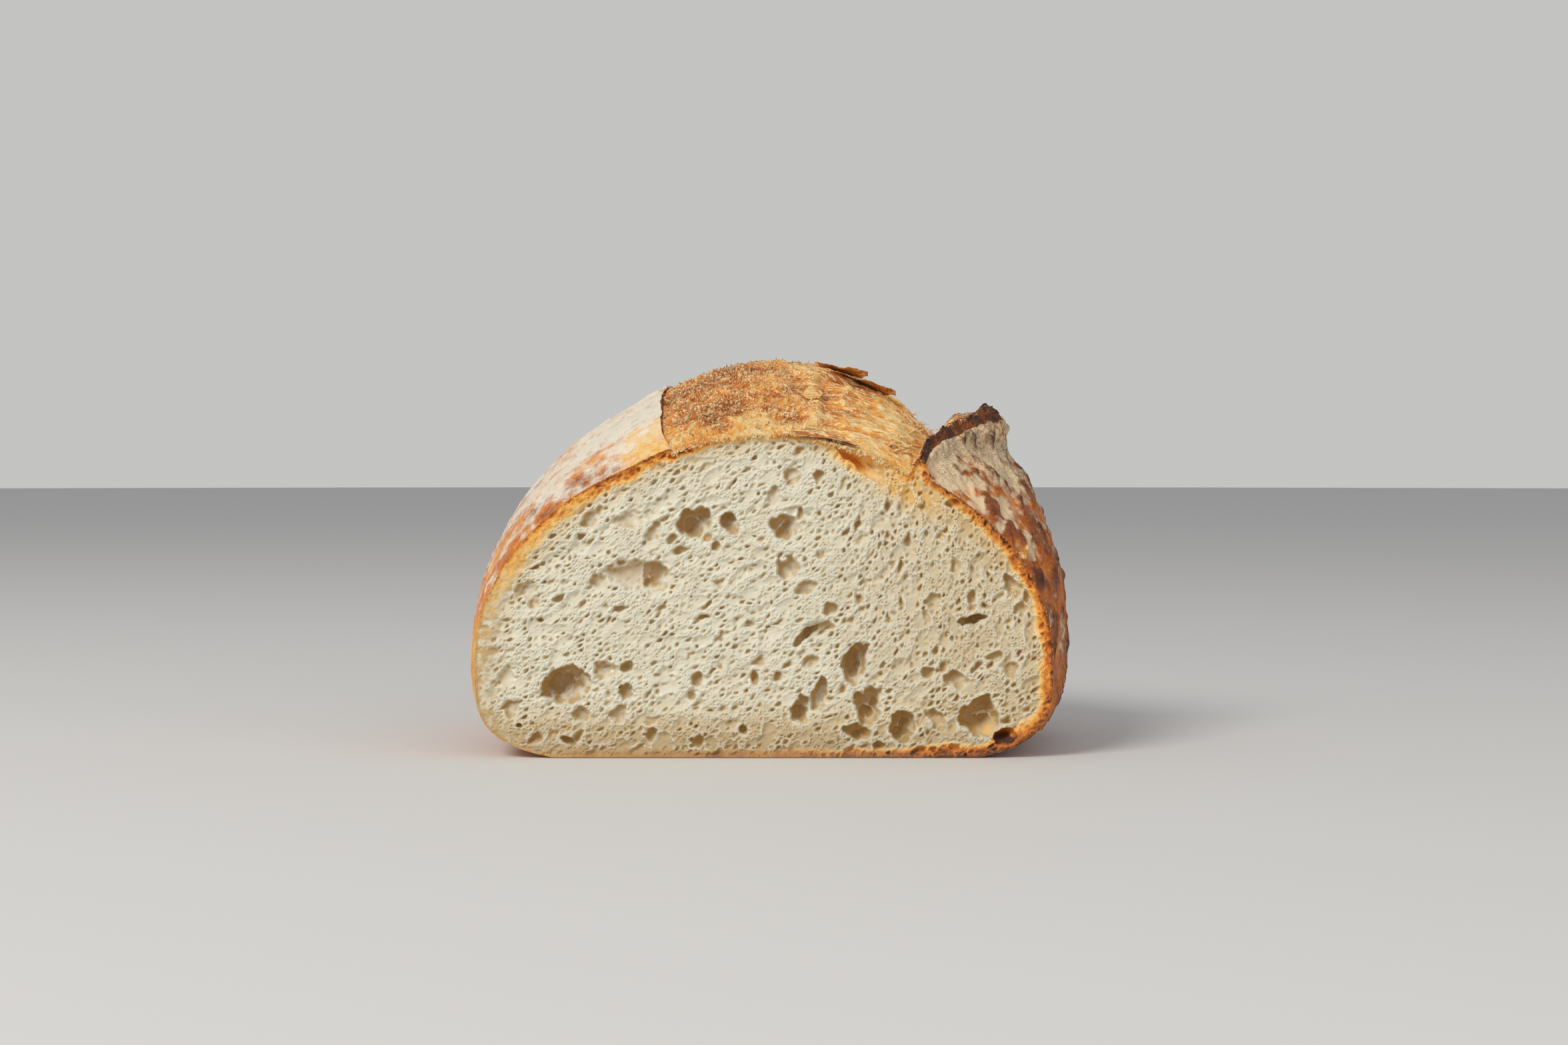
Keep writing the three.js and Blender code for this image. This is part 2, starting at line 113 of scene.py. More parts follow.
# The crumb's largest holes: middle x and z, width, height and tilt in degrees, and depth.
LARGE_HOLES = np.array([
    [-20.5, 66.5, 10.5, 9, 0, 5.6], [-10.5, 66.5, 4.5, 7, 15, 4.2], [-38, 51, 19, 8, -6, 2.6],
    [-33, 51, 8.5, 7.5, 0, 3.6], [4.5, 64.5, 8, 8, 0, 3.6], [5, 54, 7, 6.5, 0, 2.9],
    [-57.5, 20, 13, 9.5, 25, 7], [-46.5, 25, 7, 5, 0, 2.5], [-41, 18.5, 4.2, 4.2, 0, 2.9],
    [-43, 12, 4.5, 6, 0, 2.2], [-53, 12, 5.5, 4, 0, 2.2], [-75, 23.5, 3.5, 5, 0, 1.4],
    [-73.5, 13, 4, 3.5, 0, 1.8], [-69, 48, 6, 4, 60, 1.8], [-49, 49, 5, 4.2, 0, 2.2],
    [-51, 67.5, 6.5, 4, 40, 2.2], [-40.5, 67, 8.5, 3.6, 15, 1.8], [-33, 64.5, 6, 3.6, 45, 2.2],
    [13, 79.5, 2.6, 4.8, 15, 2.2], [1.5, 74, 4.4, 3, 0, 1.8], [12, 35, 13, 3.5, 25, 3.2],
    [24, 27, 7, 12, -10, 5], [14.5, 17, 4.5, 8.5, 0, 3.6], [28, 14.5, 6.5, 10.5, -10, 4.6],
    [9, 13, 6, 8, 0, 3.6], [24.5, 7, 7.5, 5.5, 0, 3.6], [38, 8, 7.5, 7.5, 0, 4.8],
    [59.5, 11, 9.5, 10.5, 0, 5.6], [66.3, 5.4, 7.5, 4.6, 15, 4.5],
    [52.5, 22, 8.5, 4.5, 10, 2.9], [58.5, 39, 8, 3.2, 0, 3.6], [67.5, 49.5, 5.5, 3.6, -35, 2.2],
    [69.8, 43, 3, 5.5, -20, 1.8], [47.5, 10.5, 6, 4, -10, 2.2], [46.5, 44, 4, 5.5, 15, 1.8],
    [26, 83.4, 17, 5, -40, 3.6],
])
# Middling holes between them.
MIDDLING_HOLES = np.array([
    [-60, 45, 4, 2.5, 30, 2.2], [-40.5, 25.5, 5, 4, 40, 3], [-27.5, 62, 3.5, 3, 0, 2.2],
    [-15, 59.5, 3, 3.5, 0, 2.4], [6, 80, 4, 4, 0, 2.4], [8.8, 69, 2.5, 4, 20, 2.4],
    [-20.5, 22, 4, 5, 0, 2.8], [-22.5, 17.5, 3, 2, 0, 2], [-4.5, 22.5, 3, 4.5, 0, 2.6],
    [10, 48, 7, 3.5, 15, 2.2], [17, 42, 5, 4, 30, 2.6], [11.5, 27, 6, 4, 25, 2.4],
    [31, 3.5, 4.5, 3, 0, 2.6], [44.5, 24, 4, 3.5, 0, 2.4], [68, 25, 4, 5, 0, 2],
    [64, 28.5, 5, 3, 0, 2], [36.5, 26, 5, 5, 0, 1.2], [57, 45, 2.5, 5, 0, 2.2],
    [-33.5, 6.5, 3, 4, 0, 2.4], [-20.5, 4.5, 4, 4, 0, 2.6], [-7.5, 8, 2.5, 3.5, 0, 2.4],
    [-67, 44, 4, 4, 0, 2], [-57, 4.3, 5, 2.4, -20, 2.6], [-71, 9, 2.2, 1.8, 0, 2],
    [52, 2.6, 3, 2, 0, 2], [46.5, 2.4, 2.4, 1.8, 0, 2], [51, 72, 4, 3, 0, 2.4],
    [49, 78.5, 3.6, 4, 0, 2.4],
])

# Columns round the skin, in order from the base's right edge, and rings along the loaf.
LOWER_COLUMNS = 24
RIGHT_COLUMNS = 144
EAR_OUTER_COLUMNS = 72
EAR_INNER_COLUMNS = 48
BLOOM_COLUMNS = 240
LIP_COLUMNS = 16
LEFT_COLUMNS = 216
BASE_COLUMNS = 96
FRONT_RINGS = 168
BACK_RINGS = 160
LAST_TURN = math.pi / 2 * 0.9999   # just short of the end, where a ring would be a point

# The columns where one stretch ends and the next begins.
RIGHT_WAIST = LOWER_COLUMNS
CREST = RIGHT_WAIST + RIGHT_COLUMNS + EAR_OUTER_COLUMNS
VALLEY = CREST + EAR_INNER_COLUMNS
LIP = VALLEY + BLOOM_COLUMNS
LIP_TOP = LIP + LIP_COLUMNS
LEFT_WAIST = LIP_TOP + LEFT_COLUMNS
BASE_LEFT = LEFT_WAIST + LOWER_COLUMNS
ALL_COLUMNS = BASE_LEFT + BASE_COLUMNS

COARSE = 8                 # columns and rings of a hidden inner wall, one in so many
SKIN_WALL = 4.0            # how deep the skin's inner wall lies
SKIN_WALL_START = 9.0      # and how far behind the cut it begins
SKIN_WALL_SETTLED = 40     # where that start has faded out

FACE_COLUMNS = 768         # across the cut face, in four pieces
FACE_ROWS = 424
FACE_PIECES = 4


# -------- plain mathematics

def lerp(a, b, t):
    """From a to b by the share t."""
    return a + (b - a) * t


def smooth(value, low, high):
    """Rises from 0 at low to 1 at high, as three times the square less twice the cube."""
    t = np.clip((value - low) / (high - low), 0, 1)
    return t * t * (3 - 2 * t)


def hump(dx, dy, reach_x, reach_y):
    """A smooth round rise that falls off as a bell curve."""
    return np.exp(-((dx / reach_x) ** 2 + (dy / reach_y) ** 2))


def unit(vectors):
    """The vectors, each divided by its length."""
    return vectors / np.maximum(np.linalg.norm(vectors, axis=-1, keepdims=True), 1e-9)


def round_angle(x, z):
    """Angle round the loaf in degrees, from 0 at its right, up and over to the left."""
    return np.degrees(np.arctan2(z - ANGLE_MIDDLE_Z, x)) % 360


def lattice_value(cell, seed):
    """A repeatable number between 0 and 1 for each cell of a lattice: the cell's three whole
    numbers, times large odd numbers, added and mixed by shifts."""
    mixed = cell[0] * np.uint32(374761393) + cell[1] * np.uint32(668265263)
    mixed = mixed + cell[2] * np.uint32(2246822519) + np.uint32(seed * 3266489917 % 2**32)
    mixed = (mixed ^ (mixed >> np.uint32(13))) * np.uint32(1274126177)
    mixed = (mixed ^ (mixed >> np.uint32(16))) * np.uint32(2654435761)
    return (mixed ^ (mixed >> np.uint32(15))).astype(np.float32) / np.float32(2**32)


def noise(x, y, z, size, seed):
    """Smooth noise from -1 to 1: a lattice's numbers, size apart, blended between the eight
    corners round each point."""
    base, part = [], []
    for value in np.broadcast_arrays(x, y, z):
        scaled = np.asarray(value, np.float32) / np.float32(size)
        whole = np.floor(scaled)
        rest = scaled - whole
        base.append(whole.astype(np.int64).astype(np.uint32))
        part.append(rest * rest * (3 - 2 * rest))
    total = np.zeros(base[0].shape, np.float32)
    for corner in range(8):
        sides = [corner & 1, corner >> 1 & 1, corner >> 2]
        cell = [b + np.uint32(s) for b, s in zip(base, sides)]
        weight = np.ones(total.shape, np.float32)
        for p, s in zip(part, sides):
            weight = weight * (p if s else 1 - p)
        total += weight * lattice_value(cell, seed)
    return total * 2 - 1


def layered_noise(x, y, z, size, seed, layers=3, gain=0.5):
    """Noise with finer and fainter noise on it: each layer half the size of the last."""
    total, strength, reach = 0, 1, 0
    for layer in range(layers):
        total = total + strength * noise(x, y, z, size / 2**layer, seed + layer)
        reach += strength
        strength *= gain
    return total / reach


def ridges(x, y, z, size, seed):
    """Sharp crests, from -1 to 1, where smooth noise passes through zero."""
    return np.clip(1 - 4 * np.abs(noise(x, y, z, size, seed)), -1, 1)


def ridge_layers(reach, b, layers):
    """Crests of several sizes added up: the strength of each, how far it is stretched round
    the loaf, its size and its seed."""
    return sum(strength * ridges(reach / stretch, b, 0, size, seed)
               for strength, stretch, size, seed in layers)


def terraces(value, count):
    """Value broken into level steps with a short steep rise between them."""
    scaled = value * count
    whole = np.floor(scaled)
    return (whole + smooth(scaled - whole, 0.72, 1)) / count


def spline(points, counts):
    """A smooth curve through the points after the first and before the last: on each stretch
    the cubic whose ends have the slope between the neighbours. Points are (x, z) pairs of
    arrays over the rings."""
    parts = []
    for i, count in enumerate(counts):
        t = np.linspace(0, 1, count, endpoint=False)[:, None]
        before, start, end, after = points[i:i + 4]
        parts.append([
            0.5 * (2 * s + (e - b) * t + (2 * b - 5 * s + 4 * e - a) * t**2
                   + (3 * s - b - 3 * e + a) * t**3)
            for b, s, e, a in zip(before, start, end, after)
        ])
    return [np.concatenate([p[k] for p in parts]) for k in (0, 1)]


# -------- the loaf's own form

def front_loss(back):
    """Share of the summit's extra width and height that a section in front of it lacks."""
    return np.clip((SUMMIT_BACK - back) / SUMMIT_BACK, 0, 1) ** 2


def end_share(back, power):
    """Share of its size that a section keeps as the back end rounds off."""
    along = np.clip((back - SUMMIT_BACK) / (LOAF_DEPTH - SUMMIT_BACK), 0, 1)
    return (1 - along**power) ** (1 / power)


def half_width(side, back):
    """Half the loaf's width at the waist, on its left (side below 0) or its right."""
    cut = np.where(np.asarray(side) < 0, CUT_HALF_WIDTH_LEFT, CUT_HALF_WIDTH_RIGHT)
    return lerp(SUMMIT_HALF_WIDTH, cut, front_loss(back)) * end_share(back, END_POWER)


def shoulder_power(side, back):
    """The power of the crown's arch: an ellipse on the left, squarer on the right by the
    summit."""
    fullness = (1 - front_loss(back)) * (1 - smooth(back, SUMMIT_BACK, SHOULDER_FADE_BACK))
    right = lerp(LEFT_SHOULDER_POWER, RIGHT_SHOULDER_POWER, fullness)
    return np.where(np.asarray(side) < 0, LEFT_SHOULDER_POWER, right)


def crown_height(x, back):
    """Height of the plain crown: a rounded arch over the waist, before the score."""
    rise = lerp(SUMMIT_RISE, CUT_RISE, front_loss(back)) * end_share(back, END_POWER)
    power = shoulder_power(x, back)
    across = np.clip(np.abs(x) / half_width(x, back), 0, 1)
    return WAIST_Z + rise * (1 - across**power) ** (1 / power)


def along_score(back, peak, sizes, fade=1, start=0):
    """A size that grows between its two given values, from start to peak, then fades to
    nothing at the score's end."""
    at_cut, full = sizes
    rising = lerp(at_cut, full, smooth(back, start, peak))
    falling = full * (1 - smooth(back, peak, SCORE_END_BACK)) ** fade
    return np.where(back <= peak, rising, falling)


def score_edge(side, back):
    """The x of the score's left lip (side -1) or of the valley on its right (side 1)."""
    along = np.clip((back - SCORE_WIDEST_BACK) / SCORE_HALF_LENGTH, -1, 1)
    opening = SCORE_HALF_WIDTH * np.sqrt(1 - along**2)
    least = LEAST_SCORE_SHARE * half_width(1, back)
    drift = smooth(back, 0, SUMMIT_BACK)
    middle = lerp(SCORE_MIDDLE_X_CUT, SCORE_MIDDLE_X, drift) * end_share(back, END_POWER)
    return middle + side * np.maximum(opening, least)


def flank_point(side, angle, back):
    """A point of the plain crown at an angle round the section, 0 at the waist."""
    x = side * half_width(side, back) * np.cos(angle) ** (2 / shoulder_power(side, back))
    return x, crown_height(x, back)


def angle_at(x, back):
    """The angle round the section at which flank_point gives this x."""
    across = np.clip(np.abs(x) / half_width(x, back), 0, 1)
    return np.arccos(across ** (shoulder_power(x, back) / 2))


def lower_side(side, back, turn):
    """The lower side, from the flat base (turn 0) up to the waist (turn 1)."""
    drop = UNDERSIDE_DROP * end_share(back, UNDERSIDE_END_POWER)
    low = np.minimum(drop, WAIST_Z)
    power = lerp(UNDERSIDE_POWER, UNDERSIDE_POWER_CUT, front_loss(back))
    below = low * np.cos(turn * np.pi / 2)
    share = np.clip(1 - (below / drop) ** power, 0, 1) ** (1 / power)
    x = side * half_width(side, back) * np.maximum(share, LEAST_BASE_SHARE)
    return x, np.maximum(WAIST_Z - below, 0)


def bloom_rise(share, back):
    """How far the bloom stands over the plain crown at a share of the way from the lip (0) to
    the valley (1): a bulge, highest midway, less a fall that comes late."""
    bulge = along_score(back, SUMMIT_BACK, BLOOM_BULGE)
    valley = along_score(back, SUMMIT_BACK, VALLEY_DEPTH)
    return bulge * 4 * share * (1 - share) - valley * share**VALLEY_POWER


def bloom_point(share, back):
    """The plain bloom's point at a share of the way across it."""
    x = lerp(score_edge(-1, back), score_edge(1, back), share)
    return x, crown_height(x, back) + bloom_rise(share, back)


def bloom_height(x, back):
    """Height of the plain bloom at an x and a distance back."""
    low, high = score_edge(-1, back), score_edge(1, back)
    share = np.clip((x - low) / (high - low), 0, 1)
    return crown_height(x, back) + bloom_rise(share, back)


def ear_points(back):
    """The ear's foot, wall, shoulder, crest, torn inner face and valley, in that order."""
    valley = bloom_point(1, back)
    height = along_score(back, EAR_TALLEST_BACK, EAR_HEIGHT, EAR_FADE, EAR_RISE_BACK)
    lean, span = [np.maximum(along_score(back, EAR_TALLEST_BACK, sizes), EAR_LEAST_WIDTH)
                  for sizes in (EAR_LEAN, EAR_SPAN)]
    room = half_width(1, back) - valley[0]
    fit = np.minimum(1, EAR_ROOM * room / (lean + span))
    crest_x = valley[0] + lean * fit
    points = []
    for share, lift in [*EAR_OUTSIDE, [0, 1]]:
        x = crest_x + share * span * fit
        points.append((x, crown_height(x, back) + lift * height))
    crest = points[-1]
    for across, up in EAR_INSIDE:
        points.append((lerp(valley[0], crest[0], across), lerp(valley[1], crest[1], up)))
    return [*points, valley]


def steps(count):
    """Even shares from 0 up to 1, which is left to the next stretch, as a column."""
    return np.linspace(0, 1, count, endpoint=False)[:, None]


def skin_sections(back):
    """Every section of the skin at once, as arrays of x and z with a row for each column."""
    ear = ear_points(back)
    foot_angle = angle_at(ear[0][0], back)
    path = [flank_point(1, foot_angle * 0.96, back), *ear, bloom_point(0.97, back)]
    flap = spline(path, [EAR_OUTER_COLUMNS // 3] * 3 + [EAR_INNER_COLUMNS // 3] * 3)

    lip_x = score_edge(-1, back)
    lip_z = crown_height(lip_x, back)
    height = along_score(back, SUMMIT_BACK, (LIP_HEIGHT, LIP_HEIGHT))
    room = height / LIP_HEIGHT * smooth(back, 0, LIP_OPENING_BACK)
    lip = spline([(lip_x + across * np.where(up == 1, 1, room), lip_z + up * height)
                  for across, up in LIP_CORNERS], [LIP_COLUMNS // 4] * 4)
    share = steps(LEFT_COLUMNS) ** LIP_REACH_POWER
    left = flank_point(-1, angle_at(lip_x - LIP_UNDERCUT, back) * (1 - share), back)
    lift = height * (1 - smooth(lip_x - left[0], 0, LIP_REACH))

    start, end = lower_side(-1, back, 0), lower_side(1, back, 0)
    across = steps(BASE_COLUMNS)
    parts = [
        lower_side(1, back, steps(LOWER_COLUMNS)),
        flank_point(1, steps(RIGHT_COLUMNS) * foot_angle, back),
        flap,
        bloom_point(1 - steps(BLOOM_COLUMNS), back),
        lip,
        (left[0], left[1] + lift),
        lower_side(-1, back, 1 - steps(LOWER_COLUMNS)),
        (lerp(start[0], end[0], across), start[1] + 0 * across),
    ]
    return [np.concatenate([p[k] + 0 * back for p in parts]) for k in (0, 1)]


# -------- meshes

def grid_normals(grid):
    """Unit normals of a grid of points, across its two directions."""
    return unit(np.cross(np.gradient(grid, axis=0), np.gradient(grid, axis=1)))


def fan_volume(points, faces):
    """Six times the volume between the faces and the origin, each face as a fan of triangles
    round its first corner."""
    first = points[faces[:, 0]]
    return sum(
        np.sum(first * np.cross(points[faces[:, k]], points[faces[:, k + 1]]))
        for k in range(1, faces.shape[1] - 1)
    )


NO_TRIANGLES = np.zeros((0, 3), int)


def put_mesh(name, points, quads, values, material, flat_from,
             triangles=NO_TRIANGLES, normals=None):
    """A mesh from arrays: quads, then triangles, turned so that it holds a positive volume.
    Faces from flat_from on are left unsmoothed. Normals, where given, are those of a larger
    surface that the piece is a part of."""
    if fan_volume(points, quads) + fan_volume(points, triangles) < 0:
        quads, triangles = quads[:, ::-1], triangles[:, ::-1]
    mesh = bpy.data.meshes.new(name)
    mesh.vertices.add(len(points))
    mesh.vertices.foreach_set("co", (points * MM).astype(np.float32).ravel())
    loops = np.concatenate([quads.ravel(), triangles.ravel()]).astype(np.int32)
    mesh.loops.add(len(loops))
    mesh.loops.foreach_set("vertex_index", loops)
    sizes = np.concatenate([np.full(len(quads), 4), np.full(len(triangles), 3)])
    starts = np.concatenate([[0], np.cumsum(sizes)[:-1]]).astype(np.int32)
    mesh.polygons.add(len(sizes))
    mesh.polygons.foreach_set("loop_start", starts)
    mesh.update(calc_edges=True)
    mesh.polygons.foreach_set("use_smooth", np.arange(len(sizes)) < flat_from)
    for key, value in values.items():
        kind, field = ("FLOAT", "value") if value.ndim == 1 else ("FLOAT_VECTOR", "vector")
        made = mesh.attributes.new(key, kind, "POINT")
        made.data.foreach_set(field, value.astype(np.float32).ravel())
    if normals is not None:
        mesh.normals_split_custom_set_from_vertices(normals)
    mesh.materials.append(material)
    piece = bpy.data.objects.new(name, mesh)
    bpy.context.scene.collection.objects.link(piece)
    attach(piece, "root")
    return piece


def grid_quads(columns, rows, offset=0):
    """Faces of a grid whose points are numbered row by row within each column."""
    index = offset + np.arange(columns * rows).reshape(columns, rows)
    return np.stack([index[:-1, :-1], index[1:, :-1], index[1:, 1:], index[:-1, 1:]],
                    axis=-1).reshape(-1, 4)


def border(columns, rows, offset=0):
    """The grid's outer points in order round it."""
    index = offset + np.arange(columns * rows).reshape(columns, rows)
    return np.concatenate([index[:-1, 0], index[-1, :-1], index[:0:-1, -1], index[0, :0:-1]])


def closed_shell(name, outer, inner, values, material, normals=None):
    """A closed piece: a fine outer grid, a coarse inner one, and a rim that joins each coarse
    border point to the COARSE fine ones round it."""
    count = outer.shape[0] * outer.shape[1]
    fine = border(*outer.shape[:2])
    coarse = border(*inner.shape[:2], count)
    partner = coarse[(np.arange(len(fine)) + COARSE // 2) // COARSE % len(coarse)]
    rim = np.stack([np.roll(fine, -1), fine, partner], axis=1)
    fill = np.stack([coarse, np.roll(coarse, -1), fine[COARSE // 2::COARSE]], axis=1)
    front = grid_quads(*outer.shape[:2])
    hidden = grid_quads(*inner.shape[:2], count)[:, ::-1]
    points = np.concatenate([outer.reshape(-1, 3), inner.reshape(-1, 3)])
    full = {}
    for key, value in values.items():
        shape = (-1,) if value.ndim == 2 else (-1, 3)
        sampled = value[::COARSE, ::COARSE]
        full[key] = np.concatenate([value.reshape(shape), sampled.reshape(shape)])
    if normals is not None:
        hidden_ones = -normals[::COARSE, ::COARSE]
        normals = np.concatenate([normals.reshape(-1, 3), hidden_ones.reshape(-1, 3)])
    return put_mesh(name, points, np.concatenate([front, hidden]), full, material,
                    len(front), np.concatenate([rim, fill]), normals)


# -------- materials

def tone(red, green, blue):
    """A display colour from 0 to 255 as the linear colour that shaders take."""
    value = np.array([red, green, blue]) / 255
    linear = np.where(value <= 0.04045, value / 12.92, ((value + 0.055) / 1.055) ** 2.4)
    return (*[float(v) for v in linear], 1.0)


FRESH_FLOUR = tone(238, 231, 210)
TOASTED_FLOUR = tone(238, 214, 174)
# Pale fibre crests, partly pale dough and partly a painted highlight, and amber between fibres,
# painted shade.
PALE_FIBRE_AND_HIGHLIGHT = tone(255, 228, 168)
AMBER_FIBRE_GAP_SHADE = tone(180, 88, 16)
SOOT = tone(112, 76, 42)
CREAM = tone(226, 219, 195)
# Tan crumb, also used for painted shade towards the right and the base.
TAN = tone(204, 181, 138)
# Painted shade, darker towards the base of the face.
BASE_SHADE = tone(182, 158, 118)
YELLOW_DOUGH = tone(230, 184, 106)
# Painted shade in the crumb's holes.
HOLE_SHADE = tone(176, 128, 62)
# Painted shade in small dips, and a painted highlight on the walls between bubbles.
DIP_SHADE = tone(184, 144, 76)
WALL_HIGHLIGHT = tone(232, 227, 208)
DULL_CRUST = tone(160, 130, 92)


class Nodes:
    """Short calls for adding nodes to a tree and joining them. The call add gives back the
    node, and the others what it puts out."""

    def __init__(self, tree):
        self.tree = tree

    def add(self, kind, inputs=(), **settings):
        made = self.tree.nodes.new(kind)
        for key, value in settings.items():
            setattr(made, key, value)
        self.fill(made, dict(inputs))
        return made

    def fill(self, node, inputs):
        """Joins each input to a socket, or gives it a value."""
        for key, value in inputs.items():
            if isinstance(value, bpy.types.NodeSocket):
                self.tree.links.new(value, node.inputs[key])
            else:
                node.inputs[key].default_value = value

    def group(self, group, inputs):
        return self.add("ShaderNodeGroup", inputs, node_tree=group).outputs

    def math(self, kind, a, b=0.5, clamp=False):
        made = self.add("ShaderNodeMath", {0: a, 1: b}, operation=kind, use_clamp=clamp)
        return made.outputs[0]

    def times(self, a, b):
        return self.math("MULTIPLY", a, b)

    def plus(self, a, b, clamp=False):
        return self.math("ADD", a, b, clamp)

    def minus(self, a, b, clamp=False):
        return self.math("SUBTRACT", a, b, clamp)

    def rise(self, value, low, high, start=0.0, end=1.0):
        """From start at low to end at high, along a smooth step."""
        made = self.add("ShaderNodeMapRange", {
            "Value": value, "From Min": low, "From Max": high, "To Min": start, "To Max": end,
        }, interpolation_type="SMOOTHSTEP")
        return made.outputs[0]

    def mix(self, share, a, b):
        made = self.add("ShaderNodeMix", {0: share, 6: a, 7: b},
                        data_type="RGBA", blend_type="MIX", clamp_factor=True)
        return made.outputs[2]

    def noise(self, place, scale, detail=2.0, roughness=0.5, distortion=0.0):
        made = self.add("ShaderNodeTexNoise", {
            "Vector": place, "Scale": scale, "Detail": detail, "Roughness": roughness,
            "Distortion": distortion,
        })
        return made.outputs["Fac"]

    def cells(self, place, scale):
        """Distance to the nearest of scattered points."""
        made = self.add("ShaderNodeTexVoronoi", {"Vector": place, "Scale": scale}, feature="F1")
        return made.outputs["Distance"]

    def attribute(self, name):
        return self.add("ShaderNodeAttribute", attribute_name=name).outputs

    def masks(self, *names):
        """The piece's own values of these names."""
        return [self.attribute(name)["Fac"] for name in names]

    def ramp(self, value, stops):
        made = self.add("ShaderNodeValToRGB", {"Fac": value})
        marks = made.color_ramp.elements
        while len(marks) < len(stops):
            marks.new(0.5)
        for mark, (place, colour) in zip(marks, stops):
            mark.position = place
            mark.color = colour
        return made.outputs["Color"]

    def stretched(self, place, scale):
        return self.add("ShaderNodeMapping", {"Vector": place, "Scale": scale}).outputs[0]

    def millimetres(self):
        place = self.add("ShaderNodeTexCoord").outputs["Object"]
        return self.stretched(place, (1000, 1000, 1000))

    def bump(self, height, strength, distance):
        made = self.add("ShaderNodeBump", {
            "Height": height, "Strength": strength, "Distance": distance})
        return made.outputs[0]


SOCKETS = {"Place": "NodeSocketVector", "Color": "NodeSocketColor", "Dust": "NodeSocketColor"}


def new_group(name, inputs, outputs):
    """An empty node group with named sockets, which are numbers unless SOCKETS says otherwise:
    its Nodes, its input sockets and its output node."""
    group = bpy.data.node_groups.new(name, "ShaderNodeTree")
    for label, value in inputs.items():
        kind = SOCKETS.get(label, "NodeSocketFloat")
        socket = group.interface.new_socket(label, in_out="INPUT", socket_type=kind)
        if value is not None:
            socket.default_value = value
    for label in outputs:
        kind = SOCKETS.get(label, "NodeSocketFloat")
        group.interface.new_socket(label, in_out="OUTPUT", socket_type=kind)
    n = Nodes(group)
    given = n.add("NodeGroupInput").outputs
    return n, [given[label] for label in inputs], n.add("NodeGroupOutput")


BAKED_TONES = [
    (0.0, tone(236, 216, 172)),
    (0.2, tone(242, 200, 126)),
    (0.4, tone(238, 164, 66)),
    (0.58, tone(208, 116, 34)),
    (0.74, tone(150, 78, 26)),
    (0.88, tone(96, 48, 22)),
    (1.0, tone(52, 28, 20)),
]


def browning_group():
    """Colour of baked dough: a tone from pale straw to char, shifted by speckle."""
    n, (place, baked, speckle, grain), out = new_group(
        "Browning", {"Place": None, "Baked": 0.5, "Speckle": 0.2, "Grain": 1.0}, ["Color"])
    speck = n.noise(place, grain, 4.0, 0.7)
    shift = n.times(n.minus(speck, 0.5), speckle)
    baked = n.plus(baked, n.times(shift, 2.0), clamp=True)
    n.fill(out, {"Color": n.ramp(baked, BAKED_TONES)})
    return n.tree


def flour_group():
    """Flour dust: a pale coat that breaks up into grains where it is thin."""
    n, (place, colour, dust, amount, grain), out = new_group(
        "Flour dust", {"Place": None, "Color": None, "Dust": None, "Amount": 0.5, "Grain": 1.0},
        ["Color", "Mask"])
    coarse = n.noise(place, grain, 5.0, 0.8)
    fine = n.noise(place, n.times(grain, 5.0), 3.0, 0.7)
    wide = n.noise(place, n.times(grain, 0.3), 3.0, 0.6)
    grains = n.plus(n.times(coarse, 0.38), n.times(fine, 0.22))
    grains = n.plus(grains, n.times(wide, 0.4))
    edge = n.minus(1.0, amount)
    mask = n.rise(grains, n.minus(edge, 0.2), n.plus(edge, 0.18))
    mask = n.times(mask, n.rise(fine, 0.35, 0.65, 0.72, 1.0))
    n.fill(out, {"Color": n.mix(mask, colour, dust), "Mask": mask})
    return n.tree


def grain_group():
    """Height of a fine rough surface: noise of one size with pits of another."""
    n, (place, scale, depth), out = new_group(
        "Fine grain", {"Place": None, "Scale": 1.0, "Pits": 0.3}, ["Height"])
    rough = n.noise(place, scale, 4.0, 0.65)
    pits = n.cells(place, n.times(scale, 1.6))
    n.fill(out, {"Height": n.plus(rough, n.times(pits, depth))})
    return n.tree


def fibre_group():
    """Torn dough: thin curling fibres, along the lines where noise passes its middle value,
    woolly where Drawn is 0 and pulled out along the first direction where it is 1."""
    n, (place, drawn, scale), out = new_group(
        "Torn fibres", {"Place": None, "Drawn": 0.0, "Scale": 1.0}, ["Fibres"])
    woolly = n.noise(n.stretched(place, (0.75, 1.1, 1)), scale, 2.0, 0.6, 1.2)
    long_ones = n.noise(n.stretched(place, (0.16, 1.25, 1)), scale, 2.0, 0.6, 0.5)
    both = n.plus(woolly, n.times(n.minus(long_ones, woolly), drawn))
    off = n.math("ABSOLUTE", n.minus(both, 0.5))
    n.fill(out, {"Fibres": n.minus(1.0, n.times(off, 8.0), clamp=True)})
    return n.tree


BROWNING = browning_group()
FLOUR = flour_group()
GRAIN = grain_group()
FIBRES = fibre_group()


def new_material(name, roughness=0.8, specular=0.35):
    """A material with a plain Principled shader: its Nodes and the shader."""
    material = bpy.data.materials.new(name)
    material.use_nodes = True
    material.node_tree.nodes.clear()
    n = Nodes(material.node_tree)
    shader = n.add("ShaderNodeBsdfPrincipled", {
        "Roughness": roughness, "Specular IOR Level": specular})
    n.add("ShaderNodeOutputMaterial", {"Surface": shader.outputs[0]})
    return material, n, shader


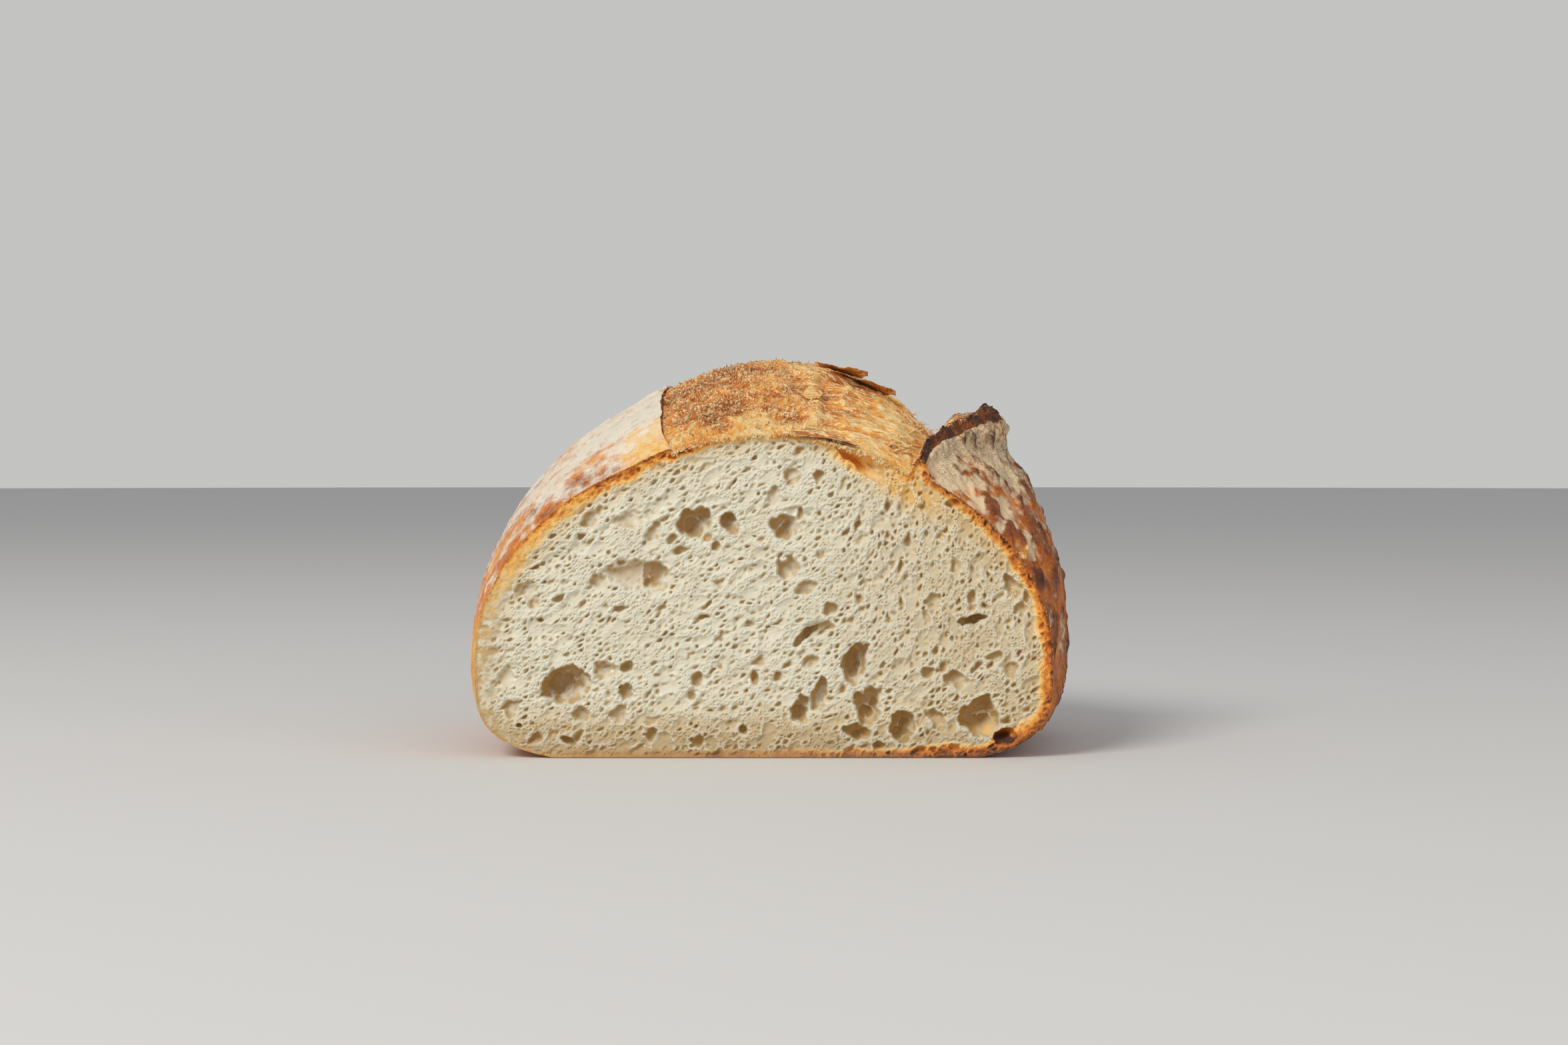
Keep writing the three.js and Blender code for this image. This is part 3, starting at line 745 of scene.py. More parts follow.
def crust_material():
    """Baked crust: browned skin, torn fibres where the dough opened, with painted shade between
    them and a painted highlight on their crests, flour and soot. Where each lies comes from the
    skin's own values."""
    material, n, shader = new_material("baked crust")
    place = n.millimetres()
    along = n.attribute("along_skin")["Vector"]
    baked, flour, torn, drawn, fleck_and_highlight, toast, soot = n.masks(
        "baked", "flour", "torn", "drawn", "fleck_and_highlight", "toast", "soot")
    # Browned skin, streaked where it is torn.
    lines = n.noise(n.stretched(along, (0.16, 0.5, 1)), 1.0, 4.0, 0.6)
    lined = n.rise(torn, 0.0, 1.0, 0.24, 0.6)
    streaked = n.plus(baked, n.times(n.minus(lines, 0.5), lined))
    colour = n.group(BROWNING, {
        "Place": place, "Baked": streaked, "Speckle": 0.26, "Grain": 1.1})["Color"]
    # Fibres of two sizes: amber between them, which is painted shade, and pale on their crests,
    # partly pale dough and partly a painted highlight, except on charred dough.
    wide, narrow = [
        n.group(FIBRES, {"Place": along, "Drawn": drawn, "Scale": scale})["Fibres"]
        for scale in (0.7, 1.7)]
    fibres = n.plus(n.times(wide, 0.5), n.times(narrow, 0.5))
    raised = n.plus(fibres, n.times(fleck_and_highlight, 0.5))
    soft = n.times(n.rise(baked, 0.9, 0.68), torn)
    low = n.times(n.rise(raised, 0.34, 0.1, 0.0, 0.5), soft)
    high = n.times(n.rise(raised, 0.66, 1.06, 0.0, 0.88), soft)
    colour = n.mix(high, n.mix(low, colour, AMBER_FIBRE_GAP_SHADE), PALE_FIBRE_AND_HIGHLIGHT)
    # Flour, warmer where it toasted, and specks of soot on it.
    dust = n.mix(toast, FRESH_FLOUR, TOASTED_FLOUR)
    dusted = n.group(FLOUR, {
        "Place": place, "Color": colour, "Dust": dust, "Grain": 1.3, "Amount": flour})
    specks = n.rise(n.noise(place, 2.0, 5.0, 0.8), 0.46, 0.6, 0.0, 0.85)
    colour = n.mix(n.times(specks, soot), dusted["Color"], SOOT)
    rough = n.rise(dusted["Mask"], 0.0, 1.0, 0.46, 0.95)
    grain = n.group(GRAIN, {"Place": place, "Scale": 1.3, "Pits": 0.3})["Height"]
    height = n.plus(n.times(grain, 0.6), n.times(fibres, n.times(torn, 0.9)))
    n.fill(shader, {
        "Base Color": colour, "Roughness": rough, "Normal": n.bump(height, 0.6, 0.0004)})
    return material


def crumb_material():
    """Crumb: cream, with painted tan shade in its holes and dips, a painted highlight on the walls
    between them and painted shade towards its right and base, the browned band of the cut crust
    round it and a gloss on the walls of some bubbles."""
    material, n, shader = new_material("open crumb", 0.75, 0.45)
    place = n.millimetres()
    shaded_hole_depth, dip_shading, bake, dull, yellow, tan = n.masks(
        "shaded_hole_depth", "dip_shading", "bake", "dull", "yellow", "tan")
    # Cream to tan over the face, tan near the crust and at random, with painted shade that darkens
    # it towards the right and, more, near the base, and yellow where the dough tore.
    drift = n.rise(n.noise(place, 0.3, 3.0), 0.3, 0.7, -0.12, 0.12)
    tan = n.plus(tan, drift, clamp=True)
    colour = n.mix(tan, CREAM, TAN)
    height = n.add("ShaderNodeSeparateXYZ", {0: place}).outputs[2]
    # Painted shade: darker and tanner within 12 mm of the base.
    colour = n.mix(n.rise(height, 12.0, 1.0, 0.0, 0.85), colour, BASE_SHADE)
    colour = n.mix(yellow, colour, YELLOW_DOUGH)
    # Painted shade in the holes, deepest on their upper left walls, and in the small dips, and a
    # painted highlight on the walls between them.
    colour = n.mix(n.rise(shaded_hole_depth, 0.8, 4.5, 0.0, 0.74), colour, HOLE_SHADE)
    colour = n.mix(n.rise(dip_shading, 0.06, 0.6, 0.0, 0.7), colour, DIP_SHADE)
    colour = n.mix(n.rise(dip_shading, -0.04, -0.3, 0.0, 0.5), colour, WALL_HIGHLIGHT)
    # The cut crust's browned band, and the gloss.
    crust = n.group(BROWNING, {
        "Place": place, "Baked": bake, "Speckle": 0.26, "Grain": 1.6})["Color"]
    crust = n.mix(n.times(dull, 0.75), crust, DULL_CRUST)
    colour = n.mix(n.rise(bake, 0.0, 0.16), colour, crust)
    wet = n.rise(n.noise(place, 0.4, 4.0, 0.65), 0.5, 0.62)
    wet = n.times(wet, n.rise(shaded_hole_depth, 0.05, 0.6))
    grain = n.group(GRAIN, {"Place": place, "Scale": 1.6, "Pits": 0.0})["Height"]
    n.fill(shader, {
        "Base Color": colour, "Roughness": n.rise(wet, 0.0, 1.0, 0.8, 0.22),
        "Normal": n.bump(grain, 0.1, 0.0003)})
    return material


# -------- the outer skin

# Places on the bloom that differ from the rest: middle x and distance back, reach along each,
# change of browning, and lift.
BLOOM_MARKS = [
    (-13, 38, 4, 9, 0.22, -0.5), (-19, 10, 5, 3, 0.1, 0), (5, 19, 9, 6, 0.13, -0.5),
    (13.5, 18, 1.6, 7, -0.1, 1.6), (16, 18, 1.8, 7, 0.1, -0.6), (24, 14, 6, 2.5, 0.2, 0),
    (25, 33, 7, 4.5, 0.35, -2.2), (20, 43, 4, 3, 0.4, -1.8), (-2, 30, 9, 4, 0.12, 0),
    (36, 34, 5, 10, -0.12, 0), (-8, 4, 14, 3, -0.12, 0),
]
# The same on the right side, by x and height close behind the cut, with change of flour.
RIGHT_MARKS = [
    (60, 77, 2.0, 3.5, 0.0, 0.3, -0.34), (63.5, 72.5, 2.6, 4.0, -0.08, 1.0, -0.5),
    (68, 63, 2.2, 3.5, -0.04, 0.5, -0.3), (72.5, 66, 2.4, 5, 0.0, 0.4, -0.2),
    (54, 82, 1.6, 2.5, 0.15, 0.2, -0.35), (77, 52, 2.5, 5, 0.15, 0.5, -0.2),
]


def mark_humps(u, v, marks):
    """A hump for each mark: its first four numbers are its middle and its reach along u and v."""
    return [hump(u - mark[0], v - mark[1], mark[2], mark[3]) for mark in marks]


def mark_sums(humps, marks):
    """The humps added up, each times its mark's change: once for every kind of change."""
    changes = list(zip(*marks))[4:]
    return [sum(h * change for h, change in zip(humps, kind)) for kind in changes]


def plain_skin():
    """The skin before its relief. Each place has its x, y and z, its distance behind the cut
    (b), its reach, which is its distance round the section from the bloom's middle, its
    column's number and its outward normal. The rings keep even steps up to the summit, and
    behind it their distance back is the sine of an even turn."""
    front = SUMMIT_BACK * np.arange(FRONT_RINGS) / FRONT_RINGS
    turn = np.arange(BACK_RINGS + 1) / BACK_RINGS * LAST_TURN
    back = np.concatenate([front, SUMMIT_BACK + (LOAF_DEPTH - SUMMIT_BACK) * np.sin(turn)])
    x, z = skin_sections(back)
    b = back[None, :] + 0 * x
    y = CUT_Y + b
    across = np.stack([np.roll(v, -1, 0) - np.roll(v, 1, 0) for v in (x, y, z)], -1)
    along = np.stack([np.gradient(v, axis=1) for v in (x, y, z)], -1)
    normal = unit(np.cross(across, along))
    right_flank = normal[20:60, 60]
    normal *= np.sign(right_flank[:, 0].sum())
    # The folded lip moves as one, so that relief can't turn it inside out.
    normal[LIP - 1:LIP_TOP + 4] = normal[LIP_TOP + 6]
    run = np.hypot(np.roll(x, -1, 0) - x, np.roll(z, -1, 0) - z)
    reach = np.cumsum(run, 0)
    reach = reach - reach[VALLEY + BLOOM_COLUMNS // 2]
    column = np.arange(len(x))[:, None] + 0 * x
    return SimpleNamespace(x=x, y=y, z=z, b=b, back=back, reach=reach, column=column,
                           normal=normal)


def between(column, first, last, soft):
    """1 over the columns from one to another, fading out over soft columns at both."""
    rising = smooth(column, first - soft, first + soft)
    return rising * (1 - smooth(column, last - soft, last + soft))


def regions(at):
    """What each place of the skin belongs to, as shares from 0 to 1 that fade into each other.
    The torn strip is the ear's inner face and the valley."""
    x, b, column = at.x, at.b, at.column
    xyz = x, at.y, at.z
    # Behind the score's end the whole skin is plain again, left and right of its middle.
    opened = 1 - smooth(b + 7 * layered_noise(*xyz, 8, 91, 3, 0.6), 98, 118)
    rightward = smooth(x + 26 * layered_noise(*xyz, 14, 95, 4, 0.7), -26, 26)
    # The ear's charred top: from its crest to its ragged outer edge.
    char_edge = CREST - 18 + 5 * layered_noise(b, 0, 0, 3.4, 73, 3, 0.6)
    char = smooth(column, char_edge - 1.5, char_edge + 1.5)
    char = char * (1 - smooth(column, CREST, CREST + 14))
    char = char * smooth(b, -6, 1) * (1 - smooth(b, 85, 112))
    lip_edge = between(column, LIP, LIP_TOP, 1.5) * (1 - smooth(column, LIP + 6, LIP + 11))
    lump = hump(x - LUMP_X, b - LUMP_BACK, LUMP_REACH_X, LUMP_REACH_BACK)
    return SimpleNamespace(
        opened=opened,
        bloom=between(column, VALLEY, LIP, 4) * opened,
        torn=between(column, CREST, VALLEY, 3) * opened,
        left=lerp(1 - rightward, between(column, LIP, BASE_LEFT, 4), opened),
        right=lerp(rightward, between(column, 0, CREST, 4), opened),
        base=np.maximum(between(column, BASE_LEFT, ALL_COLUMNS, 3), 1 - smooth(column, 0, 3)),
        lip_edge=lip_edge * opened,
        lump=lump * smooth(column, CREST - 1, CREST + 10),
        char=char,
        crest=hump(column - CREST, 0, 7, 1) * (1 - smooth(b, 90, 116)),
    )


def blended(part, own):
    """The parts' own values, each weighed by how far a place belongs to that part."""
    weights = [part.bloom, part.left, part.right, part.torn, part.base]
    return sum(w * v for w, v in zip(weights, own)) / sum(weights)


def bloom_surface(at):
    """The bloom's relief: torn leaves in terraces on low mounds, woolly tufts on the left,
    strands drawn out on the right, long curling folds, and its marks."""
    x, b, reach = at.x, at.b, at.reach
    drawn = smooth(x + 0.15 * b + 12 * layered_noise(x, at.y, at.z, 11, 97, 3, 0.6), -2, 34)
    mounds = layered_noise(reach, b, at.z, 13, 3)
    leaves = terraces(layered_noise(reach / 2.6, b, 0, 3.0, 11, 4, 0.6) * 0.5 + 0.5, 7) - 0.5
    tufts = ridge_layers(reach, b, [
        (0.42, 1.5, 2.4, 201), (0.32, 1.4, 1.25, 203), (0.2, 1.2, 0.75, 205)])
    strands = ridge_layers(reach, b + 0.12 * reach, [
        (0.5, 14, 2.4, 211), (0.34, 11, 1.2, 213), (0.18, 8, 0.7, 215)])
    wool = lerp(tufts, strands, drawn)
    folds = 3 * layered_noise(reach, b, 0, 9, 207)
    curls = ridges(reach / 1.5 + folds, b, 0, 6.5, 209)
    browner, lift = mark_sums(mark_humps(x, b, BLOOM_MARKS), BLOOM_MARKS)
    relief = 0.8 * mounds + (1.2 - 0.7 * drawn) * leaves + 0.9 * wool + 0.4 * curls + lift
    return SimpleNamespace(relief=relief, drawn=drawn, wool=wool, curls=curls, browner=browner)


def left_relief(at):
    """The left skin: taut and softly uneven, with small pimples and faint ridges."""
    xyz = at.x, at.y, at.z
    swell = layered_noise(*xyz, 22, 31)
    pimples = np.clip(noise(*xyz, 2.6, 33) - 0.25, 0, 1)
    return (0.55 * swell + 0.35 * pimples + 0.14 * noise(*xyz, 1.3, 35)
            + 0.2 * ridges(at.reach / 2.5, at.b, 0, 5, 37))


def right_surface(at, char):
    """The right skin's relief: wavy blisters that run down it, its marks close behind the cut,
    folds and fine wrinkles on the ear's floured face, and crags on its charred top."""
    b, reach = at.b, at.reach
    blisters = layered_noise(reach / 1.9, b, 0, 5.2, 41, 3, 0.5)
    humps = [smooth(h, 0.2, 0.6) * (1 - smooth(b, 5, 9))
             for h in mark_humps(at.x, at.z, RIGHT_MARKS)]
    browner, lift, flour = mark_sums(humps, RIGHT_MARKS)
    relief = (1.3 * blisters + 0.3 * noise(reach, b, 0, 1.9, 43) - 0.3
              + 0.25 * ridges(reach / 1.6, b, 0, 3.1, 45) + lift)
    relief = relief * (1 - 0.3 * smooth(at.column, CREST - 44, CREST - 30))
    relief = relief + 0.9 * np.clip(noise(reach / 1.3, b, 0, 3.0, 48) - 0.15, 0, 1)
    folds = ridges(reach / 4.5, b, 0, 4.6, 221)
    creases = ridges(reach / 1.6, b, 0, 1.7, 223)
    face = smooth(at.z, 70, 80)
    relief = relief + face * (0.55 * folds - 0.2 * creases)
    crags = layered_noise(reach, b, 0, 2.6, 47, 4, 0.75)
    return SimpleNamespace(relief=lerp(relief, -0.9 + 1.9 * crags, char), crags=crags,
                           face=face, creases=creases, browner=browner, flour=flour)


def whole_relief(at, part, bloom, right):
    """How far each place moves along its normal: its parts' reliefs, fading out at the cut,
    at the back end's pole and towards the table."""
    torn = (0.8 + 1.2 * part.lump) * layered_noise(at.x, at.y, at.z, 3.2, 51, 4, 0.6)
    base = np.clip(0.25 * layered_noise(at.x, at.y, 0, 4, 61) + 0.02, 0, 0.3) * -1
    relief = (part.bloom * bloom.relief + part.left * left_relief(at)
              + part.right * right.relief + part.torn * torn + part.base * base)
    low_fade = smooth(at.z, 0.5, 8) * (1 - part.base) + part.base
    return relief * at.keep * end_share(at.b, 6) * low_fade


def displace(at, part, relief):
    """Moves the places along their normals. The lip's edge also wanders a little to either
    side, the ear's crest gets its teeth, and the lump rises."""
    b = at.b
    near_lip = hump(at.column - LIP - 8, 0, 14, 1) * smooth(b, 1, 8) * part.opened
    wander = 1.3 * near_lip * layered_noise(b, 0, 0, 10, 75, 4, 0.6)
    teeth = layered_noise(b, 0, 0, 4.6, 71, 4, 0.7)
    at.x = at.x + wander + at.normal[..., 0] * relief
    at.y = at.y + at.normal[..., 1] * relief
    at.z = (at.z + at.normal[..., 2] * relief
            + part.crest * teeth * 2.2 * at.keep * end_share(b, 4) + LUMP_HEIGHT * part.lump)
    at.z = np.maximum(at.z, 0)


def mottle(at, relief):
    """What browning and flour both read: the angle round the loaf, wide patches, spots, dots,
    streaks that run round it, and how high a place stands."""
    at.angle = round_angle(at.x, at.z)
    xyz = at.x, at.y, at.z
    at.patches = layered_noise(*xyz, 16, 81, 4, 0.6)
    at.spots = layered_noise(*xyz, 5, 85, 3, 0.6)
    at.dots = layered_noise(*xyz, 1.8, 87, 2, 0.6)
    at.streaks = layered_noise(at.reach / 4, at.b, 0, 3.4, 88, 3, 0.6)
    at.high = smooth(relief, -0.6, 1.0)
    # The patch beside the cut that took no flour.
    bare = smooth(at.x + 2 * at.spots, -43, -40.5)
    bare = bare * (1 - smooth(at.b + 1.6 * at.spots, 14, 16))
    at.bare = bare * (1 - smooth(at.x, -20, -18))


def browning(at, part, bloom, right):
    """How baked each place is, from pale straw (0) to char (1)."""
    x, z, b, high = at.x, at.z, at.b, at.high
    patches, spots, dots, streaks = at.patches, at.spots, at.dots, at.streaks
    # On the bloom, places that stand high and the crests of its curls are paler: partly paler torn
    # dough and partly a painted highlight.
    on_bloom = (lerp(0.48, 0.36, smooth(x, -14, 26)) + 0.2 * patches + 0.2 * spots
                - 0.1 * (high - 0.5) + 0.16 * streaks - 0.16 * (1 - smooth(b, 0, 6))
                - 0.1 * bloom.curls * (1 - 0.5 * bloom.drawn)
                + 0.05 * (1 - smooth(x, -20, 0)) + 0.14 * smooth(b, 14, 40) + bloom.browner)
    on_bloom = np.minimum(on_bloom, 0.66 + 0.3 * (on_bloom - 0.66))
    on_left = np.interp(
        at.angle, [100, 135, 165, 180, 200, 215], [0.66, 0.66, 0.6, 0.44, 0.34, 0.5])
    on_left = (on_left + 0.16 * smooth(b, 4, 22) * smooth(at.angle, 160, 185)
               + 0.2 * patches + 0.2 * streaks + 0.1 * dots)
    on_right = (0.75 + 0.18 * patches + 0.2 * spots + 0.2 * (high - 0.5)
                + 0.12 * smooth(z, 78, 90) + right.browner)
    near_crest = smooth(at.column, VALLEY - 4, CREST)
    on_torn = 0.5 + 0.3 * spots + 0.3 * near_crest * (1 - part.lump) + 0.2 * part.lump
    on_base = 0.66 + 0.15 * patches + 0.1 * spots
    baked = blended(part, [on_bloom, on_left, on_right, on_torn, on_base])
    edge = 0.7 * part.crest * smooth(b, 1, 6) * (1 - smooth(b, 95, 125))
    baked = lerp(baked, 0.87 + 0.45 * right.crags, np.maximum(part.char, edge))
    on_lip = part.lip_edge * smooth(b, 0.5, 3) * (1 - smooth(b, 100, 115))
    baked = lerp(baked, 0.72 + 0.4 * spots, on_lip)
    bare = at.bare * part.left * (1 - part.lip_edge)
    return lerp(baked, 0.29 + 0.22 * spots + 0.3 * dots, bare)


def flouring(at, part, right):
    """How much flour lies on each place. The charred edge and the lip shed most of it."""
    z, b = at.z, at.b
    patches, spots, dots = at.patches, at.spots, at.dots
    on_left = np.interp(
        at.angle, [100, 140, 165, 178, 190, 215], [0.72, 0.6, 0.5, 0.45, 0.34, 0.2])
    on_left = (on_left + 0.16 * patches + 0.12 * at.streaks + 0.12 * dots + 0.22 * spots
               - 0.16 * (1 - smooth(b + 8 * spots, 0, 12)))
    on_bare = 0.34 + 0.24 * spots + 0.24 * dots + 0.16 * smooth(b, 3, 10)
    on_left = lerp(on_left, on_bare, at.bare)
    on_right = (0.2 + 0.36 * smooth(z, 62, 86) + 0.3 * patches - 0.3 * (at.high - 0.5)
                + 0.3 * spots + 0.2 * dots - 0.24 * right.face * np.clip(right.creases, 0, 1)
                + (0.24 + 0.3 * spots) * (1 - smooth(b, 5, 14)) * smooth(z, 52, 64)
                + right.flour)
    on_bloom = 0.1 + 0.1 * patches + 0.1 * spots
    flour = blended(part, [on_bloom, on_left, on_right, 0.1, 0.3 + 0.2 * patches])
    return flour * (1 - 0.9 * np.maximum(part.char, part.crest)) * (1 - 0.65 * part.lip_edge)


def displaced_skin():
    """The whole skin with its relief: its points, the values that the crust's material reads,
    its rings' distances back and its normals."""
    at = plain_skin()
    at.keep = smooth(at.b, 0, 2.5)
    part = regions(at)
    bloom, right = bloom_surface(at), right_surface(at, part.char)
    relief = whole_relief(at, part, bloom, right)
    displace(at, part, relief)
    mottle(at, relief)
    soot = smooth(at.z, 66, 90) * (0.75 + 1.2 * at.spots) * part.right * part.opened
    # The bloom's wool height sets where the crust's material paints pale flecks and a painted
    # highlight on raised wool.
    values = {
        "baked": browning(at, part, bloom, right), "flour": flouring(at, part, right),
        "fleck_and_highlight": 0.5 + 0.5 * bloom.wool, "drawn": bloom.drawn,
        "torn": blended(part, [1, 0, 0, 1, 0]), "toast": blended(part, [0, 0, 1, 0, 0]),
        "soot": np.clip(soot, 0, 1), "along_skin": np.stack([at.reach, at.b, 0 * at.b], -1)}
    return SimpleNamespace(points=np.stack([at.x, at.y, at.z], -1), values=values,
                           back=at.back, normal=at.normal)


def skin_piece(name, skin, first, last, material):
    """A closed stretch of skin between two columns. Its inner wall lies towards the core and
    begins behind the deepest hole of the cut face, so the edge at the cut slants back to it."""
    columns = np.arange(first, last + 1) % len(skin.points)
    outer = skin.points[columns]
    coarse = outer[::COARSE, ::COARSE]
    back = skin.back[::COARSE]
    core = np.stack([coarse[..., 0] * 0.5, coarse[..., 1],
                     WAIST_Z + 3 * end_share(back, 2)[None, :] + 0 * coarse[..., 0]], -1)
    way = core - coarse
    distance = np.maximum(np.linalg.norm(way, axis=-1, keepdims=True), 1e-6)
    inner = coarse + way / distance * np.minimum(SKIN_WALL, 0.4 * distance)
    inner[..., 1] += SKIN_WALL_START * (1 - smooth(back, 0, SKIN_WALL_SETTLED))
    own = {key: value[columns] for key, value in skin.values.items()}
    return closed_shell(name, outer, inner, own, material)


# -------- loose leaves and flakes

def thin_shells(middle, half):
    """Closed thin shells from a batch of grids: two walls, half a thickness to either side of
    the middle, joined round their border."""
    count, long, wide = middle.shape[:3]
    points = np.stack([middle + half, middle - half], 1).reshape(-1, 3)
    ring = border(long, wide)
    following = np.roll(ring, -1)
    below = long * wide
    quads = np.concatenate([
        grid_quads(long, wide), grid_quads(long, wide, below)[:, ::-1],
        np.stack([following, ring, ring + below, following + below], 1),
    ])
    quads = quads[None] + (np.arange(count) * 2 * below)[:, None, None]
    return points, quads.reshape(-1, 4)


LEAF_HALF_THICKNESS = 0.09
LEAF_SUNK = 0.12           # how far a small leaf's foot lies in the skin
LIFTED_HALF_THICKNESS = 0.24


def leaf_values(points, baked, flour, fleck_and_highlight, drawn):
    """What the crust's material reads on loose torn dough."""
    none = 0 * baked
    return {"baked": baked, "flour": none + flour, "fleck_and_highlight": none + fleck_and_highlight,
            "drawn": none + drawn, "torn": none + 1, "toast": none, "soot": none,
            "along_skin": np.stack([points[:, 0], points[:, 1] - CUT_Y, none], 1)}


def curled_leaves(name, roots, out, lie, length, width, curl, baked, material, draw,
                  flat=False):
    """Many small curled leaves as one piece. A leaf sets off from its root in the direction
    lie and bends towards out along an arc, narrows to its tip, and is cupped across."""
    length, width, curl, baked = [
        np.asarray(v)[:, None, None] for v in (length, width, curl, baked)]
    roots, out, lie = [v[:, None, None] for v in (roots, out, lie)]
    u = np.linspace(0, 1, 4)[None, :, None]
    v = np.linspace(-1, 1, 3)[None, None, :]
    uneven = draw.uniform(0.7, 1.3, (len(roots), 4, 3))
    across = v * width / 2 * (1 - 0.7 * u**1.4) * uneven
    along = length * np.sin(curl * u) / curl
    up = length * (1 - np.cos(curl * u)) / curl + 0.3 * width * v**2 - LEAF_SUNK
    middle = (roots + lie * along[..., None] + np.cross(out, lie) * across[..., None]
              + out * up[..., None])
    half = out * (LEAF_HALF_THICKNESS * (1 - 0.5 * u) + 0 * up)[..., None]
    points, quads = thin_shells(middle, half)
    shade = baked - 0.16 * u + 0 * up
    shade = np.stack([shade, shade + 0.1], 1).ravel()
    return put_mesh(name, points, quads, leaf_values(points, shade, 0.08, 0.6, 0), material,
                    0 if flat else len(quads))


def frames(skin, column, ring):
    """Places on the skin with their outward direction and the two directions along it."""
    points = skin.points
    column, ring = column % len(points), np.clip(ring, 0, points.shape[1] - 3)
    across = points[(column + 3) % len(points), ring] - points[column - 3, ring]
    onward = points[column, ring + 2] - points[column, np.maximum(ring - 2, 0)]
    return [points[column, ring], unit(skin.normal[column, ring]), unit(across), unit(onward)]


def turned(first, second, angle):
    """The first direction, turned towards the second."""
    return first * np.cos(angle)[:, None] + second * np.sin(angle)[:, None]


def bloom_flakes(skin, material):
    """Curled flakes over the bloom: short and woolly on its left, and drawn out slivers on its
    right, where about half of them are left out."""
    draw = np.random.default_rng(41)
    count = 1300
    column = (VALLEY + 4 + draw.random(count) * (BLOOM_COLUMNS - 8)).astype(int)
    ring = (8 + draw.random(count) ** 1.15 * 280).astype(int)
    roots, out, across, onward = frames(skin, column, ring)
    drawn = skin.values["drawn"][column, ring]
    any_way = draw.uniform(0, 2 * np.pi, count)
    across_way = np.round(draw.random(count)) * np.pi + draw.normal(0, 0.25, count)
    lie = turned(across, onward, lerp(any_way, across_way, drawn > 0.5))
    length = lerp(draw.uniform(0.5, 1.3, count), draw.uniform(1.4, 4.0, count), drawn)
    width = lerp(draw.uniform(0.3, 0.75, count), draw.uniform(0.15, 0.34, count), drawn)
    curl = lerp(draw.uniform(0.7, 2.2, count), draw.uniform(0.05, 0.3, count), drawn)
    baked = lerp(skin.values["baked"][column, ring], 0.2, 0.5) + draw.normal(0, 0.1, count)
    kept = draw.random(count) > 0.5 * drawn
    shapes = [v[kept] for v in (roots, out, lie, length, width, curl, baked)]
    return curled_leaves("bloom_flakes", *shapes, material, draw)


def edge_flakes(skin, material):
    """A ragged fringe of small flakes along the crust's edge at the cut and the ear's crest."""
    draw = np.random.default_rng(43)
    at_cut, at_crest = 150, 90
    column = np.concatenate([
        draw.integers(RIGHT_WAIST, LEFT_WAIST, at_cut),
        CREST + draw.integers(-3, 4, at_crest),
    ])
    ring = np.concatenate([draw.integers(0, 2, at_cut), draw.integers(4, 230, at_crest)])
    count = len(column)
    cut = np.arange(count)[:, None] < at_cut
    roots, out, across, onward = frames(skin, column, ring)
    lie = turned(np.where(cut, -onward, out), across, draw.normal(0, 0.7, count))
    raised = np.where(cut, out, -onward)
    length = draw.uniform(0.25, 0.8, count) ** 1.3
    baked = skin.values["baked"][column, ring + 4] + draw.normal(-0.16, 0.1, count)
    width, curl = draw.uniform(0.4, 1.0, count), draw.uniform(0.3, 1.4, count)
    return curled_leaves("edge_flakes", roots, raised, lie, length, width, curl, baked,
                         material, draw)


def fringe(skin, material):
    """Torn flakes of the bloom's edge that hang forward over the rim of the cut."""
    draw = np.random.default_rng(59)
    count = 190
    column = draw.integers(VALLEY + 6, LIP, count)
    roots, out, across, onward = frames(skin, column, draw.integers(0, 2, count))
    lie = unit(-0.5 * onward - out + draw.normal(0, 1.0, count)[:, None] * across)
    baked = skin.values["baked"][column, 6] + draw.normal(-0.04, 0.12, count)
    length = 0.4 + 1.2 * draw.random(count)**2
    width, curl = draw.uniform(0.4, 1.6, count), draw.uniform(0.1, 0.6, count)
    return curled_leaves("fringe", roots + 0.3 * out, -onward, lie, length, width, curl, baked,
                         material, draw, flat=True)


def valley_slivers(skin, material):
    """Longer slivers that stand up from the bloom's torn right edge."""
    draw = np.random.default_rng(47)
    count = 64
    column = (VALLEY + draw.random(count) * 26).astype(int)
    roots, out, across = frames(skin, column, draw.integers(12, 210, count))[:3]
    lie = turned(-across, out, draw.uniform(0.5, 1.4, count))
    length, width = draw.uniform(1.0, 3.0, count), draw.uniform(0.5, 1.1, count)
    curl, baked = draw.uniform(0.2, 0.9, count), draw.uniform(0.25, 0.5, count)
    return curled_leaves("valley_slivers", roots, -across, lie, length, width, curl, baked,
                         material, draw)


# Crumbs of crust at the cut face, the last two of them beside its right rim: x, z and length.
# Most hang clear of the loaf, by up to 1.1 mm on the face and by 0.6 and 2 mm at the rim.
CLINGING = np.array([
    [50, 34.7, 0.9], [57, 29, 1.0], [33, 59, 0.9], [40.5, 59, 0.8], [44, 67.5, 0.9],
    [68.5, 12, 0.9], [27, 46, 0.7], [15, 61, 0.5], [-48, 30, 0.5], [-6, 18, 0.5], [36, 20, 0.6],
    [3, 40, 0.5], [-66, 32, 0.5], [60, 55, 0.6], [-28, 12, 0.5], [71.3, 58.3, 2.6],
    [71.9, 59.6, 1.8],
])


